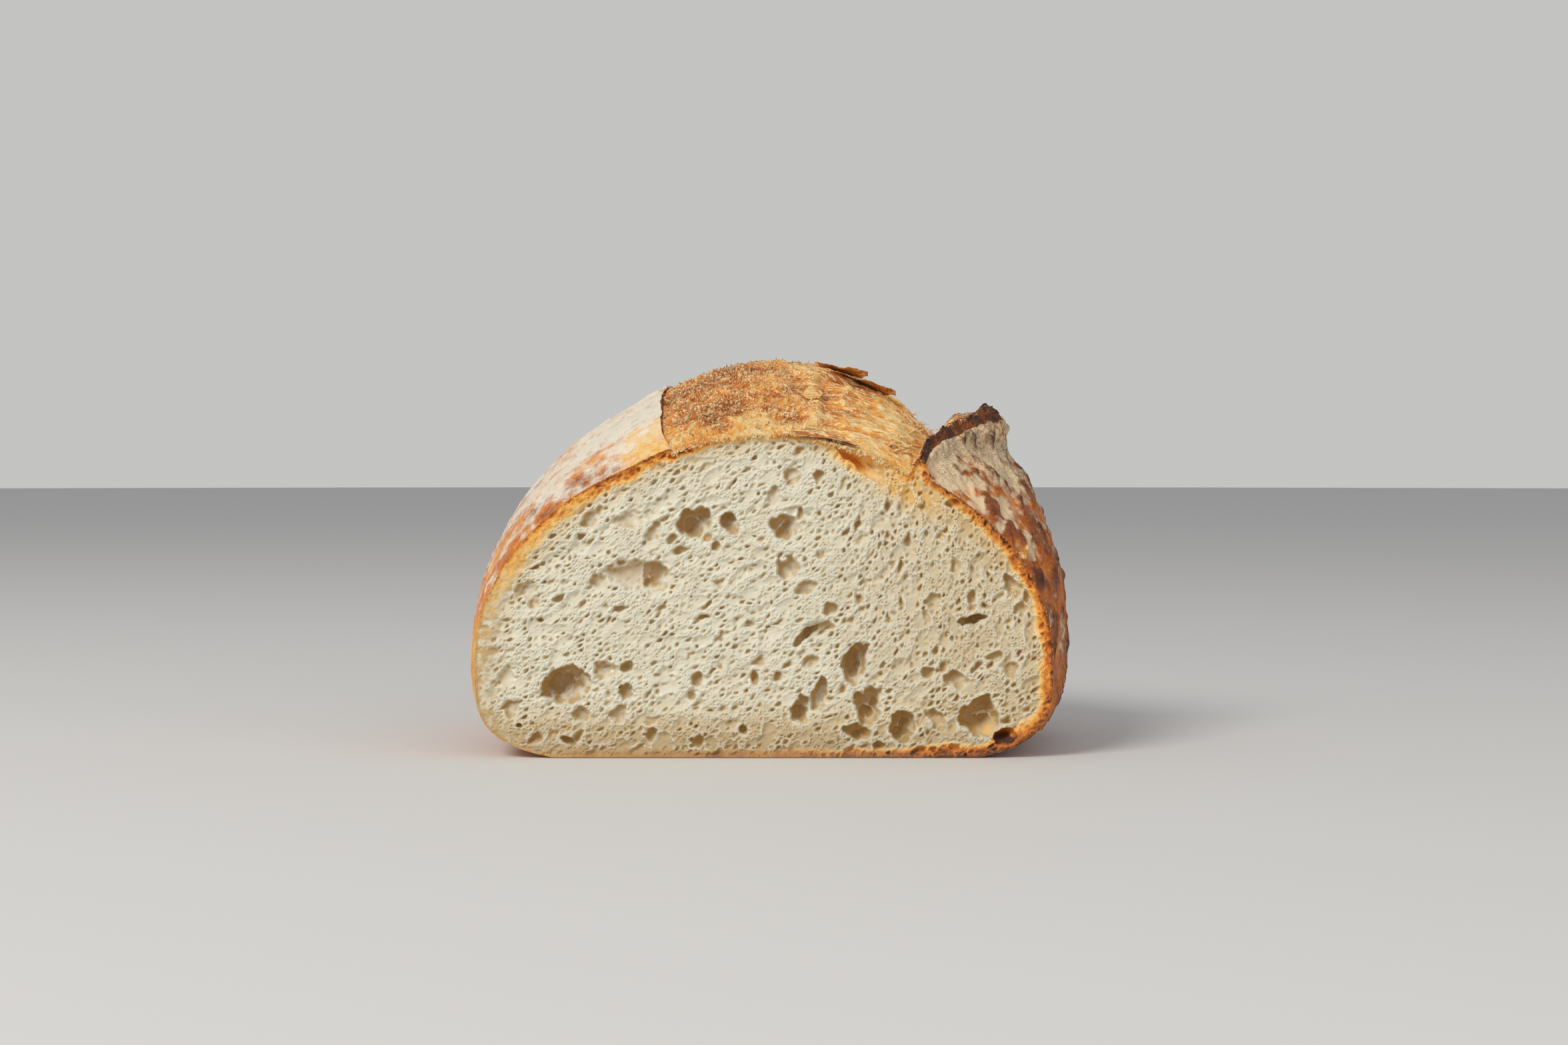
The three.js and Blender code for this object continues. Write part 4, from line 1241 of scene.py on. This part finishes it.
def clinging_crumbs(material):
    """Crumbs at the plane of the cut, as curled leaves that are as wide as they are long. The
    face lies a little behind that plane, so most of them don't touch it."""
    draw = np.random.default_rng(53)
    count = len(CLINGING)
    size = CLINGING[:, 2]
    roots = np.stack([CLINGING[:, 0], np.full(count, CUT_Y + 0.15), CLINGING[:, 1]], 1)
    out, right, up = [np.tile(way, (count, 1)) for way in ([0.0, -1, 0], [1.0, 0, 0], [0, 0, 1.0])]
    lie = turned(right, up, draw.uniform(0, 2 * np.pi, count))
    curl, baked = draw.uniform(0.6, 1.6, count), draw.uniform(0.34, 0.56, count)
    return curled_leaves("clinging_crumbs", roots, out, lie, size, size, curl, baked, material,
                         draw)


# Lifted leaves: first and last x, front and rear distance back, lift of the front edge at
# the first and last x, and browning. The last is the edge that overhangs the torn hollow.
LIFTED = [
    ("leaf_1", 13, 29, 37.5, 50, 1.2, 3.6, 0.44),
    ("leaf_2", 17, 37.2, 33, 45, 0.6, 3.4, 0.4),
    ("leaf_3", 9, 15.5, 14, 22, 0.3, 1.4, 0.3),
    ("front_edge", 1, 25.5, -1.5, 3.5, 0.1, 1.5, 0.6),
]


def lifted_leaf(name, x0, x1, front, rear, lift0, lift1, baked, material, seed):
    """A thin torn leaf. It grows out of the bloom at its rear and left, its ragged front edge
    stands clear, and it narrows to a tip at its right. Its height over the bloom grows with
    the square of the way to the front edge, and with the way to the tip."""
    u = np.linspace(0, 1, 72)[:, None]
    v = np.linspace(0, 1, 20)[None, :]
    ragged = layered_noise(u * (x1 - x0), 0, 0, 2.6, seed, 4, 0.65)
    x = lerp(x0, x1, u) + 0.5 * ragged * v
    closing = (1 - smooth(u, 0.72, 1.0)) ** 0.8 * smooth(u, -0.04, 0.4)
    middle = lerp(rear, front, 0.62)
    start = middle + (front - middle) * closing + 0.9 * ragged
    end = middle + (rear - middle) * closing
    back = lerp(end, start, v)
    lift = lerp(lift0, lift1, smooth(u, 0, 1)) * v**2
    lift = lift + 0.5 * (lift1 / 3) * layered_noise(x, back, 0, 4.2, seed + 9, 3, 0.6) * v
    tip = smooth(u, 0.8, 1) * lift1
    z = bloom_height(x, np.maximum(back, 0)) - 0.35 + 0.35 * v + np.maximum(lift, tip * 0.8)
    leaf = np.stack([x + 0 * back, CUT_Y + back + 0 * x, z], -1)
    half = np.zeros(leaf.shape)
    half[..., 2] = LIFTED_HALF_THICKNESS * (1 - 0.7 * v**2)
    points, quads = thin_shells(leaf[None], half[None])
    edge = smooth(v, 0.6, 1) + 0 * u
    shade = baked + 0.2 * edge * (1 + ragged) + 0.12 * layered_noise(x, back, 0, 3, seed + 5)
    strand = 0.5 + 0.5 * ridges(x / 5, back, 0, 0.9, seed + 3)
    values = leaf_values(points, np.stack([shade, shade - 0.04]).ravel(), 0.1,
                         np.stack([strand, 0.6 * strand]).ravel(), 0.8)
    return put_mesh(name, points, quads, values, material, len(quads))


# -------- the crumb of the cut face

RASTER = 0.15              # spacing of the depth map
MAP_X0, MAP_X1 = -87.0, 87.0
MAP_Z0, MAP_Z1 = -2.0, 97.0


def press(depths, holes, bend, power=1.0, lean=0.4):
    """Presses bubbles into a depth map. Inside a bubble the depth is its own depth times the
    root of one less the distance from its middle, measured in its half width and height and
    raised to twice the power. It leans: its upper left wall is steep and the opposite one runs
    out flat. Where bubbles overlap the deeper one holds."""
    middle_x, middle_z, width, height, tilt, depth = [v[:, None, None] for v in holes.T]
    cells = int(np.ceil(np.max(holes[:, 2:4]) / 2 * 1.15 / RASTER)) + 1
    span = np.arange(-cells, cells + 1)
    column = np.round((middle_x - MAP_X0) / RASTER).astype(int) + span[None, None, :]
    row = np.round((middle_z - MAP_Z0) / RASTER).astype(int) + span[None, :, None]
    column, row = np.broadcast_arrays(column, row)
    inside = (column >= 0) & (column < depths.shape[1]) & (row >= 0) & (row < depths.shape[0])
    flat = np.where(inside, row * depths.shape[1] + column, 0)
    dx = MAP_X0 + column * RASTER + bend[0].ravel()[flat] - middle_x
    dz = MAP_Z0 + row * RASTER + bend[1].ravel()[flat] - middle_z
    angle = np.radians(tilt)
    along = (dx * np.cos(angle) + dz * np.sin(angle)) / (width / 2)
    across = (dz * np.cos(angle) - dx * np.sin(angle)) / (height / 2)
    distance = along**2 + across**2
    upper_left = np.clip(1.4 * (dz - dx) / (width + height), -1, 1)
    sunk = depth * np.sqrt(np.clip(1 - distance**power, 0, None)) * (1 + lean * upper_left)
    sunk = np.where(inside, sunk, 0).astype(depths.dtype)
    np.maximum.at(depths.reshape(-1), flat.ravel(), sunk.ravel())


def flow_tilt(x, z):
    """How the crumb's bubbles lean, in degrees: rising to the right in the left and middle of
    the face, and upright in the right half above the base."""
    upright = smooth(x + 0.25 * (z - 45), 8, 42) * smooth(z, 12, 34)
    return lerp(24, 86, upright)


def scattered(spacing, draw, keep, low, high, long_share, depth_share):
    """Bubbles on a jittered lattice: sizes spread between low and high, longer along the flow,
    and a share of them left out."""
    xs = np.arange(MAP_X0, MAP_X1, spacing)
    zs = np.arange(MAP_Z0, MAP_Z1, spacing * 0.82)
    x, z = np.meshgrid(xs, zs)
    x = (x + spacing * 0.5 * (np.arange(len(zs)) % 2)[:, None]).ravel()
    z = z.ravel()
    x = x + draw.uniform(-0.42, 0.42, x.size) * spacing
    z = z + draw.uniform(-0.36, 0.36, x.size) * spacing
    size = low + (high - low) * draw.random(x.size) ** 1.6
    size = size * (1 + 0.25 * noise(x, 0 * x, z, 14, 7))
    longer = 1 + long_share * draw.random(x.size)
    tilt = flow_tilt(x, z) + draw.normal(0, 16, x.size)
    depth = size * depth_share * draw.uniform(0.6, 1.25, x.size)
    holes = np.stack([x, z, size * longer, size / longer**0.35, tilt, depth], 1)
    return holes[draw.random(x.size) < keep]


def foam(x, z, spacing, stretch, seed, power):
    """Packed cells round the middles of a jittered lattice, longer along the flow. Each place
    has its distance to the nearest middle and to the next. Where the two are equal stands a
    wall, and from it the depth rises to the cell's own, more so on its upper left. The higher
    the power, the fewer cells are deep."""
    angle = np.radians(flow_tilt(x, z) + 10 * noise(x, 0, z, 6, seed + 5))
    turn_x, turn_z = np.cos(angle), np.sin(angle)
    column, row = np.floor(x / spacing), np.floor(z / spacing)
    first, second = np.full((2, *x.shape), 99.0)
    own, side = np.zeros((2, *x.shape))
    for step_x in range(-2, 3):
        for step_z in range(-2, 3):
            cell = [(v + step).astype(np.int64).astype(np.uint32)
                    for v, step in ((column, step_x), (row, step_z), (0 * row, 0))]
            dx = x - (column + step_x + 0.1 + 0.8 * lattice_value(cell, seed)) * spacing
            dz = z - (row + step_z + 0.1 + 0.8 * lattice_value(cell, seed + 1)) * spacing
            along = (dx * turn_x + dz * turn_z) / stretch
            across = (dz * turn_x - dx * turn_z) * stretch
            away = np.hypot(along, across)
            nearer = away < first
            second = np.where(nearer, first, np.minimum(second, away))
            own = np.where(nearer, lattice_value(cell, seed + 2), own)
            side = np.where(nearer, dz - dx, side)
            first = np.where(nearer, away, first)
    inside = smooth(second - first, 0.12 * spacing, 0.75 * spacing)
    lean = 1 + 0.5 * np.clip(1.2 * side / spacing, -1, 1)
    return inside * lean * own**power * spacing


def clear_of(holes, others, room):
    """The holes whose middles stay clear of the others' edges."""
    apart = np.hypot(*(holes[:, None, k] - others[None, :, k] for k in (0, 1)))
    reach = np.maximum(others[:, 2], others[:, 3]) / 2
    return holes[np.all(apart > reach + room, axis=1)]


def chambers(holes, draw):
    """Bubbles in the floor of each wide hole, three to a hole and off its middle."""
    wide = np.repeat(holes[(holes[:, 2] > 5) & (holes[:, 5] >= 3)], 3, axis=0)
    turn = draw.uniform(0, 2 * np.pi, len(wide))
    reach = draw.uniform(0.15, 0.6, len(wide))
    size = draw.uniform(0.35, 0.62, len(wide))
    return np.stack([
        wide[:, 0] + reach * np.cos(turn) * wide[:, 2] / 2,
        wide[:, 1] + reach * np.sin(turn) * wide[:, 3] / 2,
        wide[:, 2] * size, wide[:, 3] * size, wide[:, 4] + draw.normal(0, 25, len(wide)),
        draw.uniform(0.8, 1.8, len(wide)),
    ], 1)


def blurred(field, cells):
    """The field averaged over a square that reaches so many cells each way, twice."""
    for axis in (0, 1, 0, 1):
        margins = [(cells + 1, cells) if k == axis else (0, 0) for k in (0, 1)]
        run = np.cumsum(np.pad(field, margins, mode="edge"), axis=axis)
        first = np.arange(field.shape[axis])
        span = 2 * cells + 1
        field = (np.take(run, first + span, axis) - np.take(run, first, axis)) / span
    return field


def bends(x, z, layers, seeds):
    """How far each place is shifted along x and z, so that the bubbles' outlines bend: noise
    of several strengths and sizes."""
    return [sum(strength * noise(x, 0, z, size, seed + k)
                for k, (strength, size) in enumerate(layers)) for seed in seeds]


def depth_map():
    """Depth of the crumb's face at each place: large holes, middling ones, small ones and the
    finest cells, each level pressed into the last. With it go the depth of the holes alone,
    more on a wall that falls to the lower right and less on one that rises, which the material
    paints as shade, and how far each place lies below what surrounds it, which it paints as
    shade in dips and as a highlight on rises."""
    draw = np.random.default_rng(23)
    x, z = np.meshgrid(np.arange(MAP_X0, MAP_X1, RASTER), np.arange(MAP_Z0, MAP_Z1, RASTER))
    deep, floor, middling = np.zeros((3, *x.shape))
    wide_bend = bends(x, z, [(1.4, 5.5), (0.75, 2.0), (0.26, 0.8)], (101, 111))
    bend = bends(x, z, [(0.6, 2.6), (0.18, 0.8)], (104, 114))
    # The large holes, a little wider than their outlines, with bubbles in their floors.
    press(deep, LARGE_HOLES * [1, 1, 1.12, 1.12, 1, 1], wide_bend, 1.5, 0.6)
    press(floor, chambers(LARGE_HOLES, draw), bend)
    deep = deep + floor * smooth(deep, 0.8, 2.2)
    # The middling ones: placed, packed and scattered.
    press(middling, MIDDLING_HOLES, bend, 1.3)
    packed = 0.62 * foam(x + 0.8 * bend[0], z + 0.8 * bend[1], 4.0, 1.35, 321, 4.0)
    middling = np.maximum(middling, packed)
    placed = np.concatenate([LARGE_HOLES, MIDDLING_HOLES])
    shallow = scattered(4.3, draw, keep=0.5, low=2.4, high=4.8, long_share=1.2, depth_share=0.2)
    press(middling, clear_of(shallow, placed, 0.4), bend)
    deep = np.maximum(deep, middling)
    # The small cells and the finest, fainter inside what is already deep.
    bent_x, bent_z = x + 0.5 * bend[0], z + 0.5 * bend[1]
    small = 0.75 * foam(bent_x, bent_z, 1.8, 1.3, 301, 1.5)
    depth = deep + small * (1 - 0.8 * smooth(deep, 0.2, 1.4))
    fine = 0.66 * foam(bent_x, bent_z, 0.9, 1.2, 311, 1.0)
    depth = depth + fine * (1 - 0.85 * smooth(depth, 0.1, 0.5))
    # The face itself swells and sinks a little.
    depth = depth + 0.6 + 0.42 * noise(x + z, 0, z * 1.6, 13, 121) + 0.14 * noise(x, 0, z, 4, 123)
    depth = np.maximum(depth, 0)
    smoothed = blurred(deep, 3)
    falling = np.gradient(smoothed, RASTER, axis=1) - np.gradient(smoothed, RASTER, axis=0)
    # Painted shade: the holes' depth, more on their upper left walls, which face away from the
    # light, and less on the lit walls opposite.
    shaded_hole_depth = (deep + small) * (1 + 0.7 * np.clip(0.8 * falling, -1, 0.6))
    # The last value, how far a place lies below its surroundings, is painted as shade in dips and
    # as a highlight on rises.
    return depth, shaded_hole_depth, depth - blurred(depth, 6)


def sample(field, x, z, spacing=RASTER):
    """The value between the cells of a map, by the four nearest."""
    column = np.clip((x - MAP_X0) / spacing, 0, field.shape[1] - 1.001)
    row = np.clip((z - MAP_Z0) / spacing, 0, field.shape[0] - 1.001)
    c, r = column.astype(int), row.astype(int)
    u, v = column - c, row - r
    low = field[r, c] * (1 - u) + field[r, c + 1] * u
    high = field[r + 1, c] * (1 - u) + field[r + 1, c + 1] * u
    return low * (1 - v) + high * v


def resampled(curve, count):
    """Points at even distances along a curve."""
    gaps = np.hypot(*np.diff(curve, axis=0).T)
    run = np.concatenate([[0], np.cumsum(gaps)])
    at = np.linspace(0, run[-1], count)
    return np.stack([np.interp(at, run, curve[:, k]) for k in (0, 1)], 1)


# Where the face's four borders meet, from the lower left round to the upper left: x and z.
FACE_CORNERS = [(-77, 7), (77, 11), (62, 66), (-62, 66)]

# The cut crust: angle round the face's middle in degrees from the right, its thickness, how
# brown it is, and how dull.
CUT_CRUST = np.array([
    [0, 3.6, 0.56, 0], [10, 3.6, 0.56, 0], [20, 3.9, 0.58, 0.1], [31, 3.5, 0.6, 0.2],
    [42, 2.8, 0.6, 0.2], [48, 2.8, 0.36, 0.1], [60, 2.2, 0.3, 0], [75, 1.6, 0.3, 0],
    [90, 1.4, 0.26, 0], [108, 1.8, 0.36, 0], [117, 3.0, 0.52, 0], [128, 4.0, 0.5, 0],
    [145, 4.6, 0.44, 0], [158, 5.2, 0.36, 0], [168, 5.8, 0.24, 0.2], [178, 6.4, 0.08, 0.6],
    [190, 6.2, 0.05, 0.8], [203, 4.2, 0.1, 0.9], [215, 3.0, 0.24, 1], [240, 2.6, 0.4, 1],
    [270, 2.6, 0.46, 0.9], [300, 2.8, 0.6, 0.6], [322, 3.2, 0.74, 0.3], [334, 4.4, 0.76, 0.1],
    [345, 4.8, 0.6, 0.1],
])

RIM_STEP = 1.0             # spacing of the map of distances from the crust's edge
RIM_POINTS = 1400          # points of that edge

# Marks on the face: middle x and z, reach along each, and how far the mark's line falls for
# each millimetre to the right.
SCORCHED = (66, 5.2, 5.5, 3.4, 0)
AMBER = (23, 84.5, 6.5, 3.0, 0.6)
TORN = (36, 77, 12, 4.4, 0.55)


def face_grid(edge):
    """The cut face's x and z. Its four borders are stretches of the skin's edge at the cut.
    Each place is the blend of the lower and upper border and of the left and right one, by its
    shares of the way, less the same blend of the four corners."""
    at = [int(np.argmin(np.hypot(edge[:, 0] - x, edge[:, 1] - z))) for x, z in FACE_CORNERS]

    def stretch(first, last, count):
        """The edge between two corners, in order, at even distances."""
        start, end = at[first], at[last]
        order = np.arange(start, end + 1 + (len(edge) if end < start else 0)) % len(edge)
        return resampled(edge[order], count + 1)

    bottom, right = stretch(0, 1, FACE_COLUMNS), stretch(1, 2, FACE_ROWS)
    top, left = stretch(2, 3, FACE_COLUMNS)[::-1], stretch(3, 0, FACE_ROWS)[::-1]
    u = np.linspace(0, 1, FACE_COLUMNS + 1)[:, None, None]
    v = np.linspace(0, 1, FACE_ROWS + 1)[None, :, None]
    face = ((1 - v) * bottom[:, None] + v * top[:, None] + (1 - u) * left[None] + u * right[None]
            - (1 - u) * (1 - v) * bottom[0] - u * (1 - v) * bottom[-1]
            - (1 - u) * v * top[0] - u * v * top[-1])
    return face[..., 0], face[..., 1]


def rim_distance(edge, x, z):
    """Distance from the crust's edge, worked out on a coarse map and read off between."""
    map_x, map_z = np.meshgrid(np.arange(MAP_X0, MAP_X1 + RIM_STEP, RIM_STEP),
                               np.arange(MAP_Z0, MAP_Z1 + RIM_STEP, RIM_STEP))
    ring = resampled(np.concatenate([edge, edge[:1]]), RIM_POINTS)
    apart = (map_x[..., None] - ring[:, 0]) ** 2 + (map_z[..., None] - ring[:, 1]) ** 2
    return sample(np.sqrt(np.min(apart, axis=-1)), x, z, RIM_STEP)


def slanted_hump(x, z, mark):
    """A hump on the face whose long side slants."""
    mark_x, mark_z, reach_x, reach_z, slant = mark
    return hump(x - mark_x, z - mark_z + slant * (x - mark_x), reach_x, reach_z)


def sunk_face(x, z, rim, band, thick, depth):
    """How far the face sinks: by its depth, less in the crust's band and hardly at all where
    the band is thick, fading out at the rim, and little more than twice the distance from it
    at most."""
    border_fade = smooth(rim, 0.05, 0.8)
    dense = band * smooth(thick, 3.6, 5.4)
    sunk = depth * (1 - 0.35 * band) * (1 - 0.8 * dense) * border_fade
    sunk = sunk + 0.35 * band * border_fade * layered_noise(x, 0, z, 1.6, 151)
    sunk = np.clip(sunk, 0, 0.1 + 2.0 * rim)
    sunk[0], sunk[-1], sunk[:, 0], sunk[:, -1] = 0, 0, 0, 0
    return sunk


def crumb_face(skin):
    """The cut face as a mesh grid, sunk by the depth map, with the values that the crumb's
    material reads: holes and dips for painted shade and highlight, the cut crust's browning and
    dullness, and how yellow and how tan the crumb is, the tan partly painted shade towards its
    right and base."""
    edge = skin.points[:, 0][:, [0, 2]]
    x, z = face_grid(edge)
    rim = rim_distance(edge, x, z)
    depth, shaded_hole_depth, dip_shading = [sample(field, x, z) for field in depth_map()]
    angle = round_angle(x, z)
    thick, brown, dull = [np.interp(angle, CUT_CRUST[:, 0], CUT_CRUST[:, k], period=360)
                          for k in (1, 2, 3)]
    ragged = thick * (1 + 0.4 * layered_noise(x, 0, z, 5, 141))
    band = 1 - smooth(rim, ragged * 0.35, ragged * 1.1)
    sunk = sunk_face(x, z, rim, band, thick, depth)

    blotch = layered_noise(x, 0, z, 1.8, 145)
    # Painted shade in the cut crust band's pits, browner where the face sinks and paler where it
    # rises.
    pit_shade = 0.7 * np.clip(dip_shading / 0.4, -0.8, 1) * smooth(brown, 0.2, 0.45)
    scorched = slanted_hump(x, z, SCORCHED) * smooth(shaded_hole_depth, 0.2, 2)
    bake = (band * (brown + 0.2 * blotch + 0.2 * pit_shade + 0.2 * (1 - smooth(rim, 0.1, 1.1)))
            + 0.62 * scorched + 0.42 * slanted_hump(x, z, AMBER) * (1 - band))
    near_crust = 1 - smooth(rim, thick, thick + 5)
    yellow = (slanted_hump(x, z, TORN) * 1.1 * (1 + 0.5 * blotch)
              + 0.2 * near_crust * smooth(z, 20, 60))
    # Tan near the crust and at random, and painted shade: darker towards the base and the right.
    tan = (1.1 * (1 - smooth(z, 3, 19)) + 0.6 * smooth(x, 0, 60) + 0.3 * near_crust
           + 0.16 * layered_noise(x, 0, z, 12, 161) + 0.08)
    values = {"shaded_hole_depth": shaded_hole_depth, "dip_shading": dip_shading, "bake": np.clip(bake, 0, 1), "dull": dull,
              "yellow": np.clip(yellow, 0, 1), "tan": np.clip(tan, 0, 1)}
    return np.stack([x, CUT_Y + sunk, z], -1), values


# The crumb's hidden back wall: its distance behind the cut, and the face's share and the
# height round which it is drawn in.
CRUMB_WALL_BACK = 14
CRUMB_WALL_SHARE = 0.95
CRUMB_MIDDLE_Z = 40


def crumb_pieces(face, values, material):
    """The cut face in upright strips, each with its own back wall inside the loaf."""
    wide = FACE_COLUMNS // FACE_PIECES
    normals = grid_normals(face)
    normals = normals * -np.sign(normals[..., 1:2].mean())
    made = []
    for k in range(FACE_PIECES):
        own = slice(k * wide, (k + 1) * wide + 1)
        inner = face[own][::COARSE, ::COARSE].copy()
        inner[..., 0] *= CRUMB_WALL_SHARE
        inner[..., 1] = CUT_Y + CRUMB_WALL_BACK
        inner[..., 2] = CRUMB_MIDDLE_Z + (inner[..., 2] - CRUMB_MIDDLE_Z) * CRUMB_WALL_SHARE
        own_values = {key: value[own] for key, value in values.items()}
        made.append(closed_shell(f"crumb_{k + 1}", face[own], inner, own_values, material,
                                 normals[own]))
    return made


# -------- build

crust = crust_material()
crumb = crumb_material()

skin = displaced_skin()
pieces = [skin_piece(name, skin, first, last, crust) for name, first, last in [
    ("right_skin", 0, CREST), ("bloom", CREST, LIP), ("left_skin", LIP, BASE_LEFT),
    ("base", BASE_LEFT, ALL_COLUMNS)]]
pieces += crumb_pieces(*crumb_face(skin), crumb)
for piece in pieces:
    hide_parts("loaf")

bloom_flakes(skin, crust)
edge_flakes(skin, crust)
fringe(skin, crust)
valley_slivers(skin, crust)
clinging_crumbs(crust)
for number, (name, *sizes) in enumerate(LIFTED):
    lifted_leaf(name, *sizes, crust, 401 + 20 * number)

# -------- camera, floor and light

FRAME_WIDTH = 2352
FOCAL_PIXELS = 3667
SENSOR = 36
HORIZON_ROW = 700
MIDDLE_ROW = 784
CAMERA_X = 3.9
CAMERA_FORWARD = 690       # the camera's distance in front of the cut face
CAMERA_Z = 82.3
FLOOR_RADIUS = 9           # in metres, as the next
FLOOR_DROP = 0.0002        # keeps the base out of the floor's own plane
FLOOR_SIDES = 64
PALE_FLOOR = tone(222, 219, 214)
ROOM_LIGHT = (0.4, 0.41, 0.43, 1)
ROOM_SEEN = (0.55, 0.55, 0.54, 1)
LIGHT_TARGET = (0, -0.02, 0.05)
# Lights: name, place and width in metres, power in watts, and colour.
LIGHTS = [
    ("key light", (-1.05, -1.3, 1.45), 0.9, 27, (1, 0.985, 0.96)),
    ("fill light", (0.9, -1.0, 0.6), 1.2, 2.6, (0.95, 0.97, 1)),
]

camera_data = bpy.data.cameras.new("camera")
camera_data.sensor_width = SENSOR
camera_data.lens = FOCAL_PIXELS / FRAME_WIDTH * SENSOR
camera = bpy.data.objects.new("camera", camera_data)
bpy.context.scene.collection.objects.link(camera)
camera.location = (CAMERA_X * MM, (CUT_Y - CAMERA_FORWARD) * MM, CAMERA_Z * MM)
pitch = math.atan((MIDDLE_ROW - HORIZON_ROW) / FOCAL_PIXELS)
camera.rotation_euler = (math.pi / 2 - pitch, 0, 0)
bpy.context.scene.camera = camera


def plain_floor():
    """A pale round floor under the loaf."""
    turns = np.linspace(0, 2 * math.pi, FLOOR_SIDES, endpoint=False)
    rim = [(FLOOR_RADIUS * np.cos(t), FLOOR_RADIUS * np.sin(t), -FLOOR_DROP) for t in turns]
    mesh = bpy.data.meshes.new("floor")
    mesh.from_pydata(rim, [], [list(range(FLOOR_SIDES))])
    floor = bpy.data.objects.new("floor", mesh)
    bpy.context.scene.collection.objects.link(floor)
    material, _, shader = new_material("pale floor", 0.7, 0.2)
    shader.inputs["Base Color"].default_value = PALE_FLOOR
    mesh.materials.append(material)


def soft_light(name, place, size, power, colour):
    """A round light panel that faces the loaf."""
    data = bpy.data.lights.new(name, "AREA")
    data.shape = "DISK"
    data.size = size
    data.energy = power
    data.color = colour
    light = bpy.data.objects.new(name, data)
    light.location = place
    way = Vector(LIGHT_TARGET) - Vector(place)
    light.rotation_euler = way.to_track_quat("-Z", "Y").to_euler()
    bpy.context.scene.collection.objects.link(light)


def soft_room():
    """An even pale room, a little brighter to the camera than the light it gives."""
    world = bpy.data.worlds.new("soft room")
    world.use_nodes = True
    n = Nodes(world.node_tree)
    seen = n.add("ShaderNodeLightPath").outputs["Is Camera Ray"]
    n.fill(world.node_tree.nodes["Background"], {"Color": n.mix(seen, ROOM_LIGHT, ROOM_SEEN)})
    bpy.context.scene.world = world


plain_floor()
for light in LIGHTS:
    soft_light(*light)
soft_room()
bpy.context.scene.view_settings.view_transform = "Standard"
